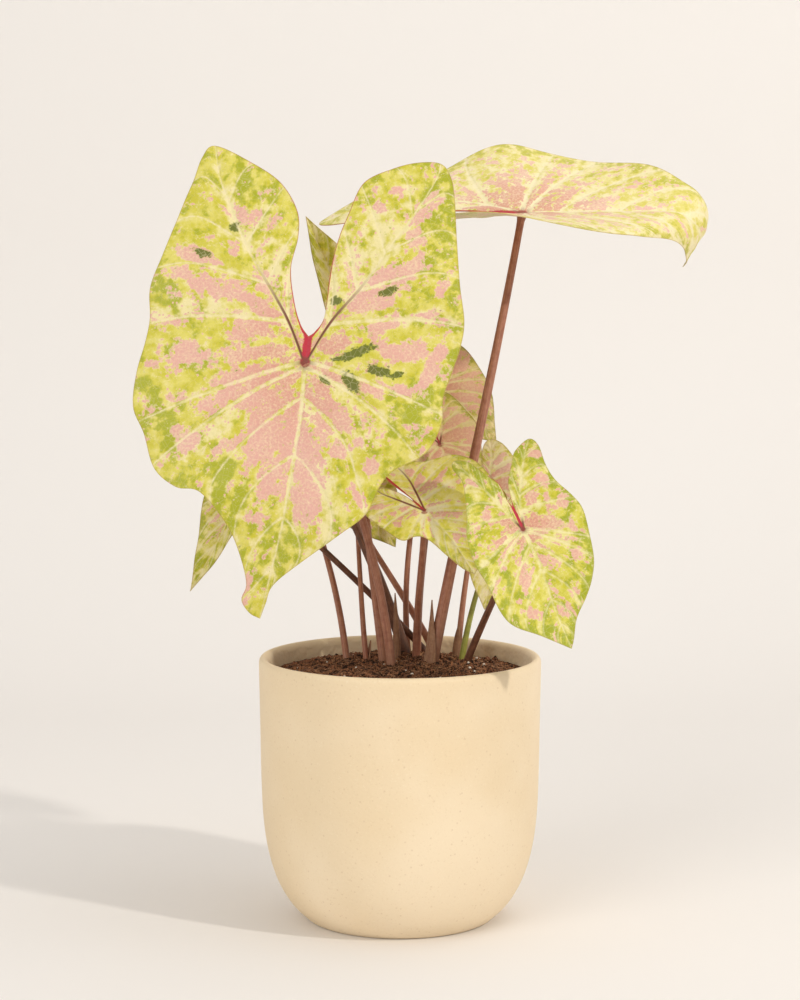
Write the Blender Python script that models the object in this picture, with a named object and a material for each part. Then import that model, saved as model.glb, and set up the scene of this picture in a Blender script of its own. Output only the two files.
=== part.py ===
"""A marbled caladium growing in a round-bottomed ceramic pot.

Metres, +Z up. The origin is the middle of the pot's flat foot and the plant's front faces -Y.
"""
import math
import random

import bpy
from mathutils import Vector

MM = 0.001

# Pot, in millimetres: radius and height down its section, from the foot up the outside to the
# lip, and from the lip down the inside to the floor
POT_FOOT_RADIUS = 44.8
POT_RIM_RADIUS = 70.0
POT_HEIGHT = 131.4
POT_WALL = 5.0
POT_FLOOR = 8.4
POT_OUTSIDE = [(POT_FOOT_RADIUS, 0), (47.5, 1.6), (54.8, 9), (61.2, 20), (65.6, 34), (68, 50),
               (69, 70), (69.5, 100), (POT_RIM_RADIUS, POT_HEIGHT - 4)]
POT_LIP = [(POT_RIM_RADIUS - 0.2, POT_HEIGHT - 1.5), (POT_RIM_RADIUS - 1.4, POT_HEIGHT),
           (POT_RIM_RADIUS - 2.9, POT_HEIGHT - 0.2), (POT_RIM_RADIUS - 4.4, POT_HEIGHT - 2)]
POT_INSIDE = [(POT_RIM_RADIUS - POT_WALL, 124), (64.4, 98), (63.8, 70), (62.6, 50), (59.4, 34.5),
              (54, 22), (46.5, 12.5), (38, POT_FLOOR)]
POT_SEGMENTS = 64

# Soil: fills the pot to just below the lip and rises a little round the stalks
SOIL_SIDE_GAP = 0.5
SOIL_FLOOR_GAP = 0.4
SOIL_EDGE_HEIGHT = 122.5 * MM
SOIL_RISE = 7 * MM
SOIL_RISE_RADIUS = 60 * MM
SOIL_SEGMENTS = 40
SOIL_TOP_RINGS = [64.3, 59.5, 53, 45, 36, 27, 18, 8]
SOIL_LUMP = 0.9 * MM
HOLE_CLEARANCE = 0.35 * MM
HOLE_DEPTH = 4 * MM

# Tuber: the flattened corm that the stalks grow from
TUBER_CENTRE = (3 * MM, 8 * MM)
TUBER_TOP = 103
TUBER_WIDEST = 93
TUBER_SECTION = [(10, 83), (19, 85.5), (26, 91), (27, 96), (24.5, 101), (18, TUBER_TOP)]
TUBER_SEGMENTS = 24

# Stalks: their feet draw together on the tuber, and each ends just short of its blade
STALK_FOOT_GAP = 1.6 * MM
STALK_GATHER = 0.72
STALK_END_GAP = 0.35 * MM
STALK_SIDES = 8
STALK_STEPS = 10

# Young shoot still rolled up, and the papery sheaths round three of the stalks
SHOOT_FOOT = (-1 * MM, 5 * MM)
SHOOT_TIP = (-2.5 * MM, 6 * MM, 162 * MM)
SHOOT_RADIUS = 2.4 * MM
SHEATH_THICKNESS = 0.8 * MM
SHEATH_GAP = 0.4 * MM
SHEATH_DEPTH = 5 * MM
SHEATHS = {
    "sheath_top": dict(stalk="leaf_top", height=36, facing=190, spread=120, spring=2.2),
    "sheath_inner": dict(stalk="leaf_inner", height=14, facing=20, spread=100, spring=1.2),
    "sheath_low": dict(stalk="leaf_back_right", height=22, facing=-100, spread=110, spring=1.6),
}

BLADE_THICKNESS = 0.7 * MM
STALK_RED = (0.27, 0.10, 0.06)
STALK_GREEN = (0.36, 0.34, 0.10)
STALK_DARK = (0.12, 0.055, 0.035)


def clear_scene():
    """Remove whatever the scene starts with."""
    for item in list(bpy.data.objects):
        bpy.data.objects.remove(item, do_unlink=True)


def add_material(name, colour, roughness):
    """One plain Principled material."""
    material = bpy.data.materials.new(name)
    material.use_nodes = True
    shader = material.node_tree.nodes["Principled BSDF"]
    shader.inputs["Base Color"].default_value = (*colour, 1.0)
    shader.inputs["Roughness"].default_value = roughness
    shader.inputs["Metallic"].default_value = 0.0
    return material


def add_object(name, points, faces, material, crease=40):
    """An object of its own mesh, smooth shaded but for edges sharper than the crease angle."""
    mesh = bpy.data.meshes.new(name)
    mesh.from_pydata([tuple(point) for point in points], [], faces)
    mesh.validate()
    thing = bpy.data.objects.new(name, mesh)
    bpy.context.scene.collection.objects.link(thing)
    if material is not None:
        mesh.materials.append(material)
    mesh.shade_smooth()
    mesh.set_sharp_from_angle(angle=math.radians(crease))
    return thing


def revolve(profile, segments, centre=(0.0, 0.0)):
    """Points and faces of a closed body turned about a vertical line; the profile, in metres,
    runs up the outside from bottom to top, and both its ends are closed on the line."""
    points = [Vector((centre[0], centre[1], profile[0][1]))]
    for radius, height in profile:
        for step in range(segments):
            turn = 2 * math.pi * step / segments
            points.append(Vector((centre[0] + radius * math.cos(turn),
                                  centre[1] + radius * math.sin(turn), height)))
    points.append(Vector((centre[0], centre[1], profile[-1][1])))
    faces = []
    for step in range(segments):
        after = (step + 1) % segments
        faces.append((0, 1 + after, 1 + step))
        for ring in range(len(profile) - 1):
            low = 1 + ring * segments
            high = low + segments
            faces.append((low + step, low + after, high + after, high + step))
        last = 1 + (len(profile) - 1) * segments
        faces.append((last + step, last + after, len(points) - 1))
    return points, faces


def in_metres(section):
    """A turned piece's section, from millimetres."""
    return [(radius * MM, height * MM) for radius, height in section]


def soil_height(x, y):
    """Height of the soil's even surface above the table."""
    share = min(1.0, math.hypot(x, y) / SOIL_RISE_RADIUS)
    return SOIL_EDGE_HEIGHT + SOIL_RISE * (1 - share * share)


# Curves: lines through hand-picked points, spread evenly along their length
def curve_through(points, count):
    """A smooth line through the points, cut into `count` equal steps."""
    line = [Vector(point).to_2d() for point in points]
    ends = [line[0] * 2 - line[1]] + line + [line[-1] * 2 - line[-2]]
    dense = []
    for a, b, c, d in zip(ends, ends[1:], ends[2:], ends[3:]):
        for step in range(12):
            t = step / 12
            dense.append(0.5 * ((2 * b) + (c - a) * t + (2 * a - 5 * b + 4 * c - d) * t ** 2
                                + (3 * b - a - 3 * c + d) * t ** 3))
    dense.append(line[-1])
    lengths = [0.0]
    for here, there in zip(dense, dense[1:]):
        lengths.append(lengths[-1] + (there - here).length)
    spread = []
    place = 0
    for step in range(count + 1):
        wanted = lengths[-1] * step / count
        while place < len(dense) - 2 and lengths[place + 1] < wanted:
            place += 1
        span = max(lengths[place + 1] - lengths[place], 1e-9)
        spread.append(dense[place].lerp(dense[place + 1], min(1.0, (wanted - lengths[place]) / span)))
    return spread


def mirrored(side):
    """The same half leaf for the other side of the midrib."""
    return {part: [(-u, v) for u, v in line] for part, line in side.items()}


# One half of an ordinary leaf, for a length of 1 from the stalk to the tip:
# low: tip to side, high: side to lobe end, sinus: notch to lobe end, vein: stalk to lobe end
PLAIN_HALF = {
    "low": [(0, -1), (0.10, -0.87), (0.27, -0.66), (0.42, -0.42), (0.51, -0.16)],
    "high": [(0.51, -0.16), (0.54, 0.10), (0.50, 0.36), (0.42, 0.58), (0.33, 0.70), (0.25, 0.74)],
    "sinus": [(0, 0.12), (0.035, 0.25), (0.06, 0.42), (0.10, 0.58), (0.17, 0.70), (0.25, 0.74)],
    "vein": [(0, 0), (0.11, 0.20), (0.19, 0.42), (0.24, 0.62), (0.25, 0.74)],
}
PLAIN_MIDRIB = [(0, -1), (0, -0.5), (0, 0)]


class Blade:
    """A leaf blade: its flat shape, and how it's bent and stands in space."""

    def __init__(self, at, tip_to, faces, left, right, midrib, steps=(6, 6), rows=(3, 2),
                 tip_droop=30, lobe_droop=15, fold=8, curl=0, rolls=(), twist=0,
                 ripples=((3, 0.0, 1.0), (3, 0.37, 1.0))):
        self.at = Vector(at) * MM
        self.along = -Vector(tip_to).normalized()
        facing = Vector(faces)
        self.facing = (facing - self.along * facing.dot(self.along)).normalized()
        self.across = self.along.cross(self.facing)
        self.sides = (left, right)
        self.midrib = midrib
        self.steps = steps
        self.rows = rows
        self.tip_droop = math.radians(tip_droop)
        self.lobe_droop = math.radians(lobe_droop)
        self.fold = math.radians(fold)
        self.curl = math.radians(curl)
        self.ripples = ripples
        self.rolls = rolls
        self.twist = math.radians(twist)
        self.tip_length = -midrib[0][1]
        self.lobe_length = max(left["vein"][-1][1], right["vein"][-1][1])
        self.half_width = max(abs(u) for side in self.sides for u, v in side["high"])
        self.rib = curve_through(midrib, 24)

    def rib_offset(self, v):
        """How far the midrib has moved sideways at this distance from the stalk."""
        if v >= 0:
            return 0.0
        for low, high in zip(self.rib, self.rib[1:]):
            if low.y <= v <= high.y:
                share = (v - low.y) / max(high.y - low.y, 1e-9)
                return low.x + (high.x - low.x) * share
        return self.rib[0].x

    def place(self, u, v, rise=0.0):
        """Where a point of the flat blade, in millimetres, ends up in space, in metres."""
        for fu, fv, heading, radius, angle in self.rolls:
            u, v, rise = roll_over(u, v, rise, fu, fv, heading, radius, angle)
        offset = self.rib_offset(v)
        side = 1 if u >= offset else -1
        reach = abs(u - offset)
        out, up = 0.0, 0.0
        for step in range(8):
            spot = reach * (step + 0.5) / 8
            lift = self.fold + self.curl * spot / self.half_width
            out += math.cos(lift) * reach / 8
            up += math.sin(lift) * reach / 8
        droop, length = (self.tip_droop, self.tip_length) if v < 0 else (self.lobe_droop, self.lobe_length)
        ahead, back = 0.0, 0.0
        for step in range(8):
            spot = abs(v) * (step + 0.5) / 8
            lean = droop * (spot / length) ** 1.4
            ahead += math.cos(lean) * abs(v) / 8
            back += math.sin(lean) * abs(v) / 8
        lean = droop * (abs(v) / length) ** 1.4
        way = -1 if v < 0 else 1
        height = up + rise
        turn = self.twist * v / self.tip_length
        x = offset + side * out
        x, height = (x * math.cos(turn) - height * math.sin(turn),
                     x * math.sin(turn) + height * math.cos(turn))
        y = way * (ahead + height * math.sin(lean))
        z = -back + height * math.cos(lean)
        return self.at + (self.across * x + self.along * y + self.facing * z) * MM

    def lines(self, side):
        """Flat lines of one half: spine from tip to lobe end, margin beside it, lobe vein, sinus."""
        first, second = self.steps
        spine = curve_through(self.midrib, first)
        vein = curve_through(side["vein"], second)
        low = curve_through(side["low"], first)
        high = curve_through(side["high"], second)
        sinus = curve_through(side["sinus"], second)
        return spine + vein[1:], low + high[1:], vein, sinus

    def surface(self):
        """Points and triangles of the bent blade's middle surface."""
        points, index, faces = [], {}, []

        def point(key, u, v, rise=0.0):
            if key not in index:
                index[key] = len(points)
                points.append(self.place(u, v, rise))
            return index[key]

        first, second = self.steps
        outer, inner = self.rows
        for number, side in enumerate(self.sides):
            spine, margin, vein, sinus = self.lines(side)
            last = len(spine) - 1
            count, phase, size = self.ripples[number]
            grid = []
            for i, (root, edge) in enumerate(zip(spine, margin)):
                row = []
                for j in range(outer + 1):
                    t = j / outer
                    key = (number, i, j)
                    if i == 0:
                        key = "tip"
                    elif i == last:
                        key = (number, "lobe")
                    elif j == 0:
                        key = ("spine", i) if i <= first else (number, "vein", i)
                    spot = root.lerp(edge, t)
                    along = i / last
                    ends = min(1.0, 4 * along, 4 * (1 - along))
                    rise = size * ends * t * t * math.sin(2 * math.pi * (count * along + phase))
                    row.append(point(key, spot.x, spot.y, rise))
                grid.append(row)
            stitch(grid, faces, number == 0)
            grid = []
            for i, (root, edge) in enumerate(zip(vein, sinus)):
                row = []
                for k in range(inner + 1):
                    key = (number, "inner", i, k)
                    if i == 0:
                        key = ("spine", first) if k == 0 else ("notch", k)
                    elif i == second:
                        key = (number, "lobe")
                    elif k == 0:
                        key = (number, "vein", first + i)
                    spot = root.lerp(edge, k / inner)
                    row.append(point(key, spot.x, spot.y))
                grid.append(row)
            stitch(grid, faces, number == 1)
        return points, faces


def roll_over(u, v, rise, fold_u, fold_v, heading, radius, angle):
    """Roll the part of the blade that lies beyond a line; the line passes through one point and
    the blade beyond it, in the heading's direction, bends by the angle, up if it's above zero."""
    away = Vector((math.cos(math.radians(heading)), math.sin(math.radians(heading))))
    beyond = (Vector((u, v)) - Vector((fold_u, fold_v))).dot(away)
    if beyond <= 0:
        return u, v, rise
    full = math.radians(abs(angle))
    way = 1 if angle > 0 else -1
    turned = min(beyond / radius, full)
    rest = max(0.0, beyond - radius * full)
    forward = radius * math.sin(turned) + rest * math.cos(turned) - way * rise * math.sin(turned)
    lifted = way * (radius * (1 - math.cos(turned)) + rest * math.sin(turned)) + rise * math.cos(turned)
    moved = Vector((u, v)) + away * (forward - beyond)
    return moved.x, moved.y, lifted


def stitch(grid, faces, flipped):
    """Triangles between neighbouring rows of a grid, leaving out those with no area."""
    for lower, upper in zip(grid, grid[1:]):
        for k in range(len(lower) - 1):
            a, b, c, d = lower[k], lower[k + 1], upper[k + 1], upper[k]
            for corners in ((a, b, c), (a, c, d)):
                if len(set(corners)) == 3:
                    faces.append(corners[::-1] if flipped else corners)


def thicken(points, faces, thickness):
    """A closed solid of even thickness about a surface, split alike on both faces."""
    normals = [Vector((0, 0, 0)) for _ in points]
    edges = set()
    for a, b, c in faces:
        normal = (points[b] - points[a]).cross(points[c] - points[a])
        for corner in (a, b, c):
            normals[corner] += normal
        edges.update(((a, b), (b, c), (c, a)))
    count = len(points)
    half = thickness / 2
    solid = [point + normal.normalized() * half for point, normal in zip(points, normals)]
    solid += [point - normal.normalized() * half for point, normal in zip(points, normals)]
    skin = list(faces)
    skin += [(a + count, c + count, b + count) for a, b, c in faces]
    for a, b in sorted(edges):
        if (b, a) not in edges:
            skin.append((b, a, a + count))
            skin.append((b, a + count, b + count))
    return solid, skin


# Half leaves drawn one by one, in millimetres from the stalk, seen from the upper face
BIG_LEFT = {
    "low": [(-22, -121), (-27, -118), (-30.5, -111.5), (-28, -104), (-31, -90), (-37, -76),
            (-49, -61), (-60.5, -58.5), (-71, -49.5), (-76, -33), (-81, -20.5)],
    "high": [(-81, -20.5), (-79.5, -4), (-76, 10.3), (-74, 22.5), (-74, 37), (-68, 52.5), (-63, 66),
             (-58, 80), (-54, 90), (-50, 101.5), (-44, 107)],
    "sinus": [(1.6, 12.4), (-2.1, 18), (-5.2, 29), (-6.9, 45.5), (-3.6, 61), (-4.3, 74), (-12.4, 88),
              (-27, 98.5), (-44, 107)],
    "vein": [(0, 0), (-7.2, 18.5), (-14.4, 32), (-24, 48.5), (-31.5, 64), (-41, 89.5), (-44, 107)],
}
BIG_RIGHT = {
    "low": [(-22, -121), (-19.1, -113.5), (-15.5, -105), (-3.1, -95), (16, -81.5), (28.5, -72),
            (35.5, -58.5), (42, -51.5), (56.5, -44), (64, -31), (65, -18)],
    "high": [(65, -18), (68.5, -7), (73, 6.2), (75, 18.5), (73, 36), (71.5, 59.5), (70.5, 80.5), (68.5, 90.5),
             (64, 96.5)],
    "sinus": [(1.6, 12.4), (4.6, 14.4), (9.3, 22), (11.8, 42.5), (15.5, 59), (20.5, 72), (27.5, 87),
              (41.5, 94), (53.5, 97), (64, 96.5)],
    "vein": [(0, 0), (11.8, 18.5), (27, 36), (39, 53.5), (51.5, 71), (62, 88.5), (64, 96.5)],
}
BIG_MIDRIB = [(-22, -121), (-18, -105), (-11.8, -81), (-7.2, -57), (-2.4, -28), (0, 0)]

FRONT_LEFT = {
    "low": [(0.4, -62), (-12, -51.5), (-22, -43.5), (-26, -35), (-27.5, -21), (-29, -10)],
    "high": [(-29, -10), (-27.5, 4), (-24, 13), (-18.5, 31), (-20, 40), (-18, 44)],
    "sinus": [(-0.4, 12.5), (-1.6, 17), (-1.6, 25), (-4.5, 30), (-8, 36), (-12, 42), (-18, 44)],
    "vein": [(0, 0), (-5.5, 13), (-9.5, 24), (-14, 35), (-18, 44)],
}
FRONT_RIGHT = {
    "low": [(0.4, -62), (3, -58), (7.7, -49.5), (15.5, -41.5), (21, -34.5), (26, -25), (29, -11.5)],
    "high": [(29, -11.5), (30, -1), (28, 7), (24, 18), (22.8, 27), (23.5, 37.5), (20.6, 42.5)],
    "sinus": [(-0.4, 12.5), (0.3, 15), (1.8, 23), (4.3, 28), (8, 33.5), (12, 39), (20.6, 42.5)],
    "vein": [(0, 0), (4, 14), (10, 26), (16, 36), (20.6, 42.5)],
}
FRONT_MIDRIB = [(0.4, -62), (-0.5, -42), (0.5, -20), (0, 0)]


MIDDLE_LEFT = {
    "low": [(-2, -42), (-5, -36), (-6.5, -27), (-7.5, -18.5), (-9.5, -12.5), (-13, -9.5), (-18.5, -7.4)],
    "high": [(-18.5, -7.4), (-21.2, 1), (-24.3, 12.9), (-21.5, 19), (-16, 22.5), (-11.3, 23.8)],
    "sinus": [(-0.6, 5), (-1.7, 10), (-3.8, 16), (-7, 21.5), (-11.3, 23.8)],
    "vein": [(0, 0), (-4, 7.5), (-8, 15), (-10.5, 20), (-11.3, 23.8)],
}
MIDDLE_RIGHT = {
    "low": [(-2, -42), (7, -38), (19, -33), (29, -27), (35, -20)],
    "high": [(35, -20), (35.8, -13.8), (35.6, -4.7), (35, 5.4), (30.2, 14.9), (22.3, 19), (15.3, 22.1),
             (10.3, 27.4), (3, 31)],
    "sinus": [(-0.6, 5), (-1, 10), (-2.6, 18), (-3.6, 25), (-1.5, 30), (3, 31)],
    "vein": [(0, 0), (2.5, 9), (4.5, 18), (4.6, 26), (3, 31)],
}
MIDDLE_MIDRIB = [(-2, -42), (0.5, -20), (0, 0)]

TOP_FAR = {
    "low": [(0, -136), (3.5, -124), (9, -110), (21, -86), (42, -60), (59, -31), (65, -8)],
    "high": [(65, -8), (69, 14), (62, 38), (49, 60), (38, 80), (30, 96), (22, 104)],
    "sinus": [(0, 13), (4, 26), (7, 44), (9, 62), (11, 82), (15, 97), (22, 104)],
    "vein": [(0, 0), (12, 22), (20, 48), (24, 74), (24, 92), (22, 104)],
}
TOP_NEAR = {
    "low": [(0, -136), (-3.5, -124), (-9, -110), (-21, -86), (-42, -60), (-56, -31), (-62, -8)],
    "high": [(-62, -8), (-64, 14), (-60, 36), (-51, 55), (-40, 70), (-28, 80), (-18, 84)],
    "sinus": [(0, 13), (-4, 26), (-6, 42), (-7, 58), (-9, 74), (-12, 81), (-18, 84)],
    "vein": [(0, 0), (-11, 20), (-18, 42), (-21, 62), (-20, 76), (-18, 84)],
}
TOP_MIDRIB = [(0, -136), (0, -54), (0, 0)]


def plain_leaf(size, width=1.0, **bends):
    """An ordinary leaf of this stalk-to-tip length, in millimetres."""
    side = {part: [(u * size * width, v * size) for u, v in line] for part, line in PLAIN_HALF.items()}
    return dict(left=mirrored(side), right=side, midrib=[(u * size, v * size) for u, v in PLAIN_MIDRIB],
                **bends)


# Every leaf: where its blade stands and bends, its stalk and its colour
LEAVES = {
    "leaf_front_left": dict(
        blade=dict(at=(-44.6, -55, 279.5), tip_to=(0, -0.26, -0.966), faces=(-0.05, -1, 0.26),
                   left=BIG_LEFT, right=BIG_RIGHT, midrib=BIG_MIDRIB, steps=(9, 9), rows=(4, 2),
                   tip_droop=22, lobe_droop=6, fold=5, curl=-12,
                   ripples=((4, 0.1, 1.6), (4, 0.47, 1.6))),
        stalk=dict(foot=(-4.4, -14), lean=(-0.10, 0.02, 1), arrive=(-0.25, -0.75, 0.6), thick=(2.5, 1.7),
                   colour=STALK_RED),
        colour=(0.52, 0.50, 0.14)),
    "leaf_top": dict(
        blade=dict(at=(60.6, 25, 350), tip_to=(1, -0.06, 0.02), faces=(0, -0.30, 0.95),
                   left=TOP_NEAR, right=TOP_FAR, midrib=TOP_MIDRIB, steps=(9, 9), rows=(4, 2),
                   tip_droop=4, lobe_droop=16, fold=12, twist=-8,
                   ripples=((1.6, 0.274, 3.5), (3.2, 0.426, 2.5)), rolls=((0, -73, -116, 13, -118),)),
        stalk=dict(foot=(15.8, -4), lean=(0.19, -0.02, 1), arrive=(0.18, 0.2, 1), thick=(3.3, 1.9),
                   colour=STALK_RED),
        colour=(0.62, 0.58, 0.28)),
    "leaf_front_right": dict(
        blade=dict(at=(58.3, -50, 200.1), tip_to=(0.36, -0.42, -0.83), faces=(0.05, -0.87, 0.5),
                   left=FRONT_LEFT, right=FRONT_RIGHT, midrib=FRONT_MIDRIB, steps=(8, 8), rows=(3, 2),
                   tip_droop=15, lobe_droop=10, fold=6),
        stalk=dict(foot=(33, 4), lean=(0.35, -0.35, 1), arrive=(0.1, -0.8, 0.6), thick=(2.1, 1.4),
                   colour=STALK_DARK),
        colour=(0.58, 0.55, 0.20)),
    "leaf_middle": dict(
        blade=dict(at=(11.7, -30, 207), tip_to=(0.60, -0.50, -0.62), faces=(-0.12, -0.76, 0.64),
                   left=MIDDLE_LEFT, right=MIDDLE_RIGHT, midrib=MIDDLE_MIDRIB, steps=(8, 8), rows=(3, 2),
                   tip_droop=8, lobe_droop=4, fold=4),
        stalk=dict(foot=(8, 11), lean=(0.0, -0.15, 1), arrive=(0, -0.5, 0.9), thick=(2.2, 1.5),
                   colour=STALK_RED),
        colour=(0.45, 0.45, 0.12)),
    "leaf_folded": dict(
        blade=dict(at=(-19, 18, 289), tip_to=(-0.44, -0.05, 0.89), faces=(0.3, -0.9, 0.2), steps=(5, 5),
                   rows=(2, 2), **plain_leaf(66, 0.62, tip_droop=-10, lobe_droop=10, fold=38)),
        stalk=dict(foot=(-8.5, -3), lean=(-0.12, 0.05, 1), arrive=(0.1, -0.1, 1), thick=(2.4, 1.4),
                   colour=STALK_RED),
        colour=(0.45, 0.36, 0.18)),
    "leaf_hanging": dict(
        blade=dict(at=(-75, 5, 221.5), tip_to=(-0.37, -0.25, -0.9), faces=(-0.5, -0.75, 0.25), steps=(5, 5),
                   rows=(2, 2), **plain_leaf(66, 0.5, tip_droop=-15, lobe_droop=20, fold=25)),
        stalk=dict(foot=(14, 31), lean=(-0.85, -0.1, 1), arrive=(-0.6, -0.5, 0.8), thick=(2.0, 1.3),
                   colour=STALK_DARK),
        colour=(0.45, 0.42, 0.14)),
    "leaf_back_high": dict(
        blade=dict(at=(19.5, 66, 262.5), tip_to=(0.72, -0.25, -0.6), faces=(0.1, -0.85, 0.5), steps=(5, 5),
                   rows=(2, 2), **plain_leaf(43, 1.05, tip_droop=25, lobe_droop=10, fold=6)),
        stalk=dict(foot=(4, 39), lean=(-0.1, 0, 1), arrive=(0.2, -0.3, 1), thick=(1.8, 1.2),
                   colour=STALK_RED),
        colour=(0.48, 0.42, 0.20)),
    "leaf_back_low": dict(
        blade=dict(at=(20, 36, 234), tip_to=(0.35, -0.45, -0.8), faces=(0.1, -0.7, 0.7), steps=(5, 5),
                   rows=(2, 2), **plain_leaf(40, 1.0, tip_droop=20, lobe_droop=10, fold=8)),
        stalk=dict(foot=(9, 24), lean=(0, 0, 1), arrive=(0.15, -0.3, 1), thick=(1.8, 1.2),
                   colour=STALK_RED),
        colour=(0.45, 0.40, 0.16)),
    "leaf_back_right": dict(
        blade=dict(at=(43.5, 42, 210), tip_to=(0.25, -0.35, -0.9), faces=(0.1, -0.85, 0.5), steps=(5, 5),
                   rows=(2, 2), **plain_leaf(35, 1.1, tip_droop=20, lobe_droop=10, fold=8)),
        stalk=dict(foot=(29, 26), lean=(0.08, 0, 1), arrive=(0.3, -0.2, 1), thick=(1.8, 1.2),
                   colour=STALK_RED),
        colour=(0.58, 0.46, 0.32)),
    "leaf_inner": dict(
        blade=dict(at=(-23.5, 42, 212), tip_to=(0.58, -0.3, -0.75), faces=(-0.2, -0.6, 0.75), steps=(5, 5),
                   rows=(2, 2), **plain_leaf(38, 1.0, tip_droop=20, lobe_droop=10, fold=8)),
        stalk=dict(foot=(-17, 5), lean=(-0.1, 0.1, 1), arrive=(-0.1, 0.1, 1), thick=(1.6, 1.1),
                   colour=STALK_RED),
        colour=(0.42, 0.43, 0.12)),
    "leaf_low_right": dict(
        blade=dict(at=(47.5, 6, 187), tip_to=(-0.14, -0.12, -0.97), faces=(0.2, -0.9, 0.15), steps=(5, 5),
                   rows=(2, 2), **plain_leaf(34, 0.9, tip_droop=15, lobe_droop=20, fold=15)),
        stalk=dict(foot=(31, 15), lean=(0.15, 0, 1), arrive=(0.35, -0.5, 0.8), thick=(1.8, 1.1),
                   colour=STALK_GREEN),
        colour=(0.60, 0.55, 0.30)),
    "leaf_hidden_high": dict(
        blade=dict(at=(-84, 52, 300), tip_to=(-0.5, 0.45, -0.74), faces=(-0.5, 0.35, 0.8), steps=(5, 5),
                   rows=(2, 2), **plain_leaf(46, 1.0, tip_droop=25, lobe_droop=10, fold=8)),
        stalk=dict(foot=(2.6, 20), lean=(-0.3, -0.02, 1), arrive=(-0.6, 0.2, 0.9), thick=(3.4, 1.6),
                   colour=STALK_DARK),
        colour=(0.50, 0.46, 0.16)),
    "leaf_hidden_left": dict(
        blade=dict(at=(-66, 64, 245), tip_to=(-0.4, 0.75, -0.5), faces=(-0.3, 0.4, 0.85), steps=(5, 5),
                   rows=(2, 2), **plain_leaf(42, 1.0, tip_droop=25, lobe_droop=10, fold=8)),
        stalk=dict(foot=(-27, 14), lean=(-0.12, 0.45, 1), arrive=(-0.5, 0.5, 0.9), thick=(1.9, 1.3),
                   colour=STALK_RED),
        colour=(0.50, 0.46, 0.16)),
    "leaf_hidden_back": dict(
        blade=dict(at=(-30, 84, 205), tip_to=(0.1, 0.95, -0.3), faces=(0, 0.3, 0.95), steps=(5, 5),
                   rows=(2, 2), **plain_leaf(42, 1.0, tip_droop=25, lobe_droop=10, fold=8)),
        stalk=dict(foot=(18, 42), lean=(-0.5, 0.2, 1), arrive=(-0.4, 0.4, 0.9), thick=(2.2, 1.3),
                   colour=STALK_RED),
        colour=(0.50, 0.46, 0.16)),
}


def add_blade(name, leaf, material):
    """One leaf blade; its shape is handed back for the stalk that carries it."""
    blade = Blade(**leaf["blade"])
    points, faces = blade.surface()
    solid, skin = thicken(points, faces, BLADE_THICKNESS)
    add_object(name, solid, skin, material, crease=60)
    return blade


def stalk_path(foot, lean, top, arrive):
    """Middle line of a stalk: from the tuber up out of the soil to the back of its blade."""
    rooted = Vector((foot[0] * MM, foot[1] * MM, 0.0))
    rooted.z = soil_height(rooted.x, rooted.y)
    start = Vector((TUBER_CENTRE[0], TUBER_CENTRE[1], 0.0)).lerp(rooted, STALK_GATHER)
    start.z = TUBER_TOP * MM + STALK_FOOT_GAP
    span = (top - rooted).length
    near = rooted + Vector(lean).normalized() * span * 0.35
    far = top - Vector(arrive).normalized() * span * 0.3
    path = [start, start.lerp(rooted, 0.5)]
    for step in range(STALK_STEPS + 1):
        t = step / STALK_STEPS
        path.append(rooted * (1 - t) ** 3 + near * 3 * t * (1 - t) ** 2 + far * 3 * t * t * (1 - t)
                    + top * t ** 3)
    return path


def sweep(path, radii, sides, end_normal=None):
    """Points and faces of a round stalk along a line, its last end cut square to a direction."""
    points, faces = [], []
    across = Vector((1, 0, 0))
    for i, here in enumerate(path):
        ahead = (path[min(i + 1, len(path) - 1)] - path[max(i - 1, 0)]).normalized()
        if i == len(path) - 1 and end_normal is not None:
            ahead = (path[-1] - path[-2]).normalized()
        across = (across - ahead * across.dot(ahead)).normalized()
        beside = ahead.cross(across)
        for step in range(sides):
            turn = 2 * math.pi * step / sides
            spot = here + (across * math.cos(turn) + beside * math.sin(turn)) * radii[i]
            if i == len(path) - 1 and end_normal is not None:
                spot += ahead * (here - spot).dot(end_normal) / ahead.dot(end_normal)
            points.append(spot)
    for ring in range(len(path) - 1):
        for step in range(sides):
            after = (step + 1) % sides
            low = ring * sides
            faces.append((low + step, low + after, low + sides + after, low + sides + step))
    faces.append(tuple(reversed(range(sides))))
    faces.append(tuple(range(len(points) - sides, len(points))))
    return points, faces


def stalk_shape(leaf, blade, extra=0.0):
    """The stalk of one leaf, or with extra thickness the hole that it stands in."""
    stalk = leaf["stalk"]
    top = blade.at - blade.facing * (BLADE_THICKNESS / 2 + STALK_END_GAP)
    path = stalk_path(stalk["foot"], stalk["lean"], top, stalk["arrive"])
    thick, thin = stalk["thick"]
    count = len(path)
    radii = [(thick + (thin - thick) * (i / (count - 1)) ** 0.8) * MM + extra for i in range(count)]
    return path, radii


def add_stalk(name, leaf, blade, material):
    """The round stalk of one leaf."""
    path, radii = stalk_shape(leaf, blade)
    points, faces = sweep(path, radii, STALK_SIDES, blade.facing)
    return add_object(name, points, faces, material, crease=50)


def add_shoot(material):
    """A new leaf still rolled up to a point."""
    return add_object("young_shoot", *sweep(*shoot_shape(), STALK_SIDES), material, crease=50)


def shoot_shape(extra=0.0):
    """The shoot's middle line and thickness, or with extra thickness the hole that it stands in."""
    foot = Vector((SHOOT_FOOT[0], SHOOT_FOOT[1], TUBER_TOP * MM + STALK_FOOT_GAP))
    tip = Vector(SHOOT_TIP)
    path = [foot.lerp(tip, share) for share in (0, 0.2, 0.4, 0.6, 0.8, 1.0)]
    radii = [SHOOT_RADIUS * size + extra for size in (0.9, 1.0, 1.0, 0.85, 0.55, 0.12)]
    return path, radii


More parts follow.
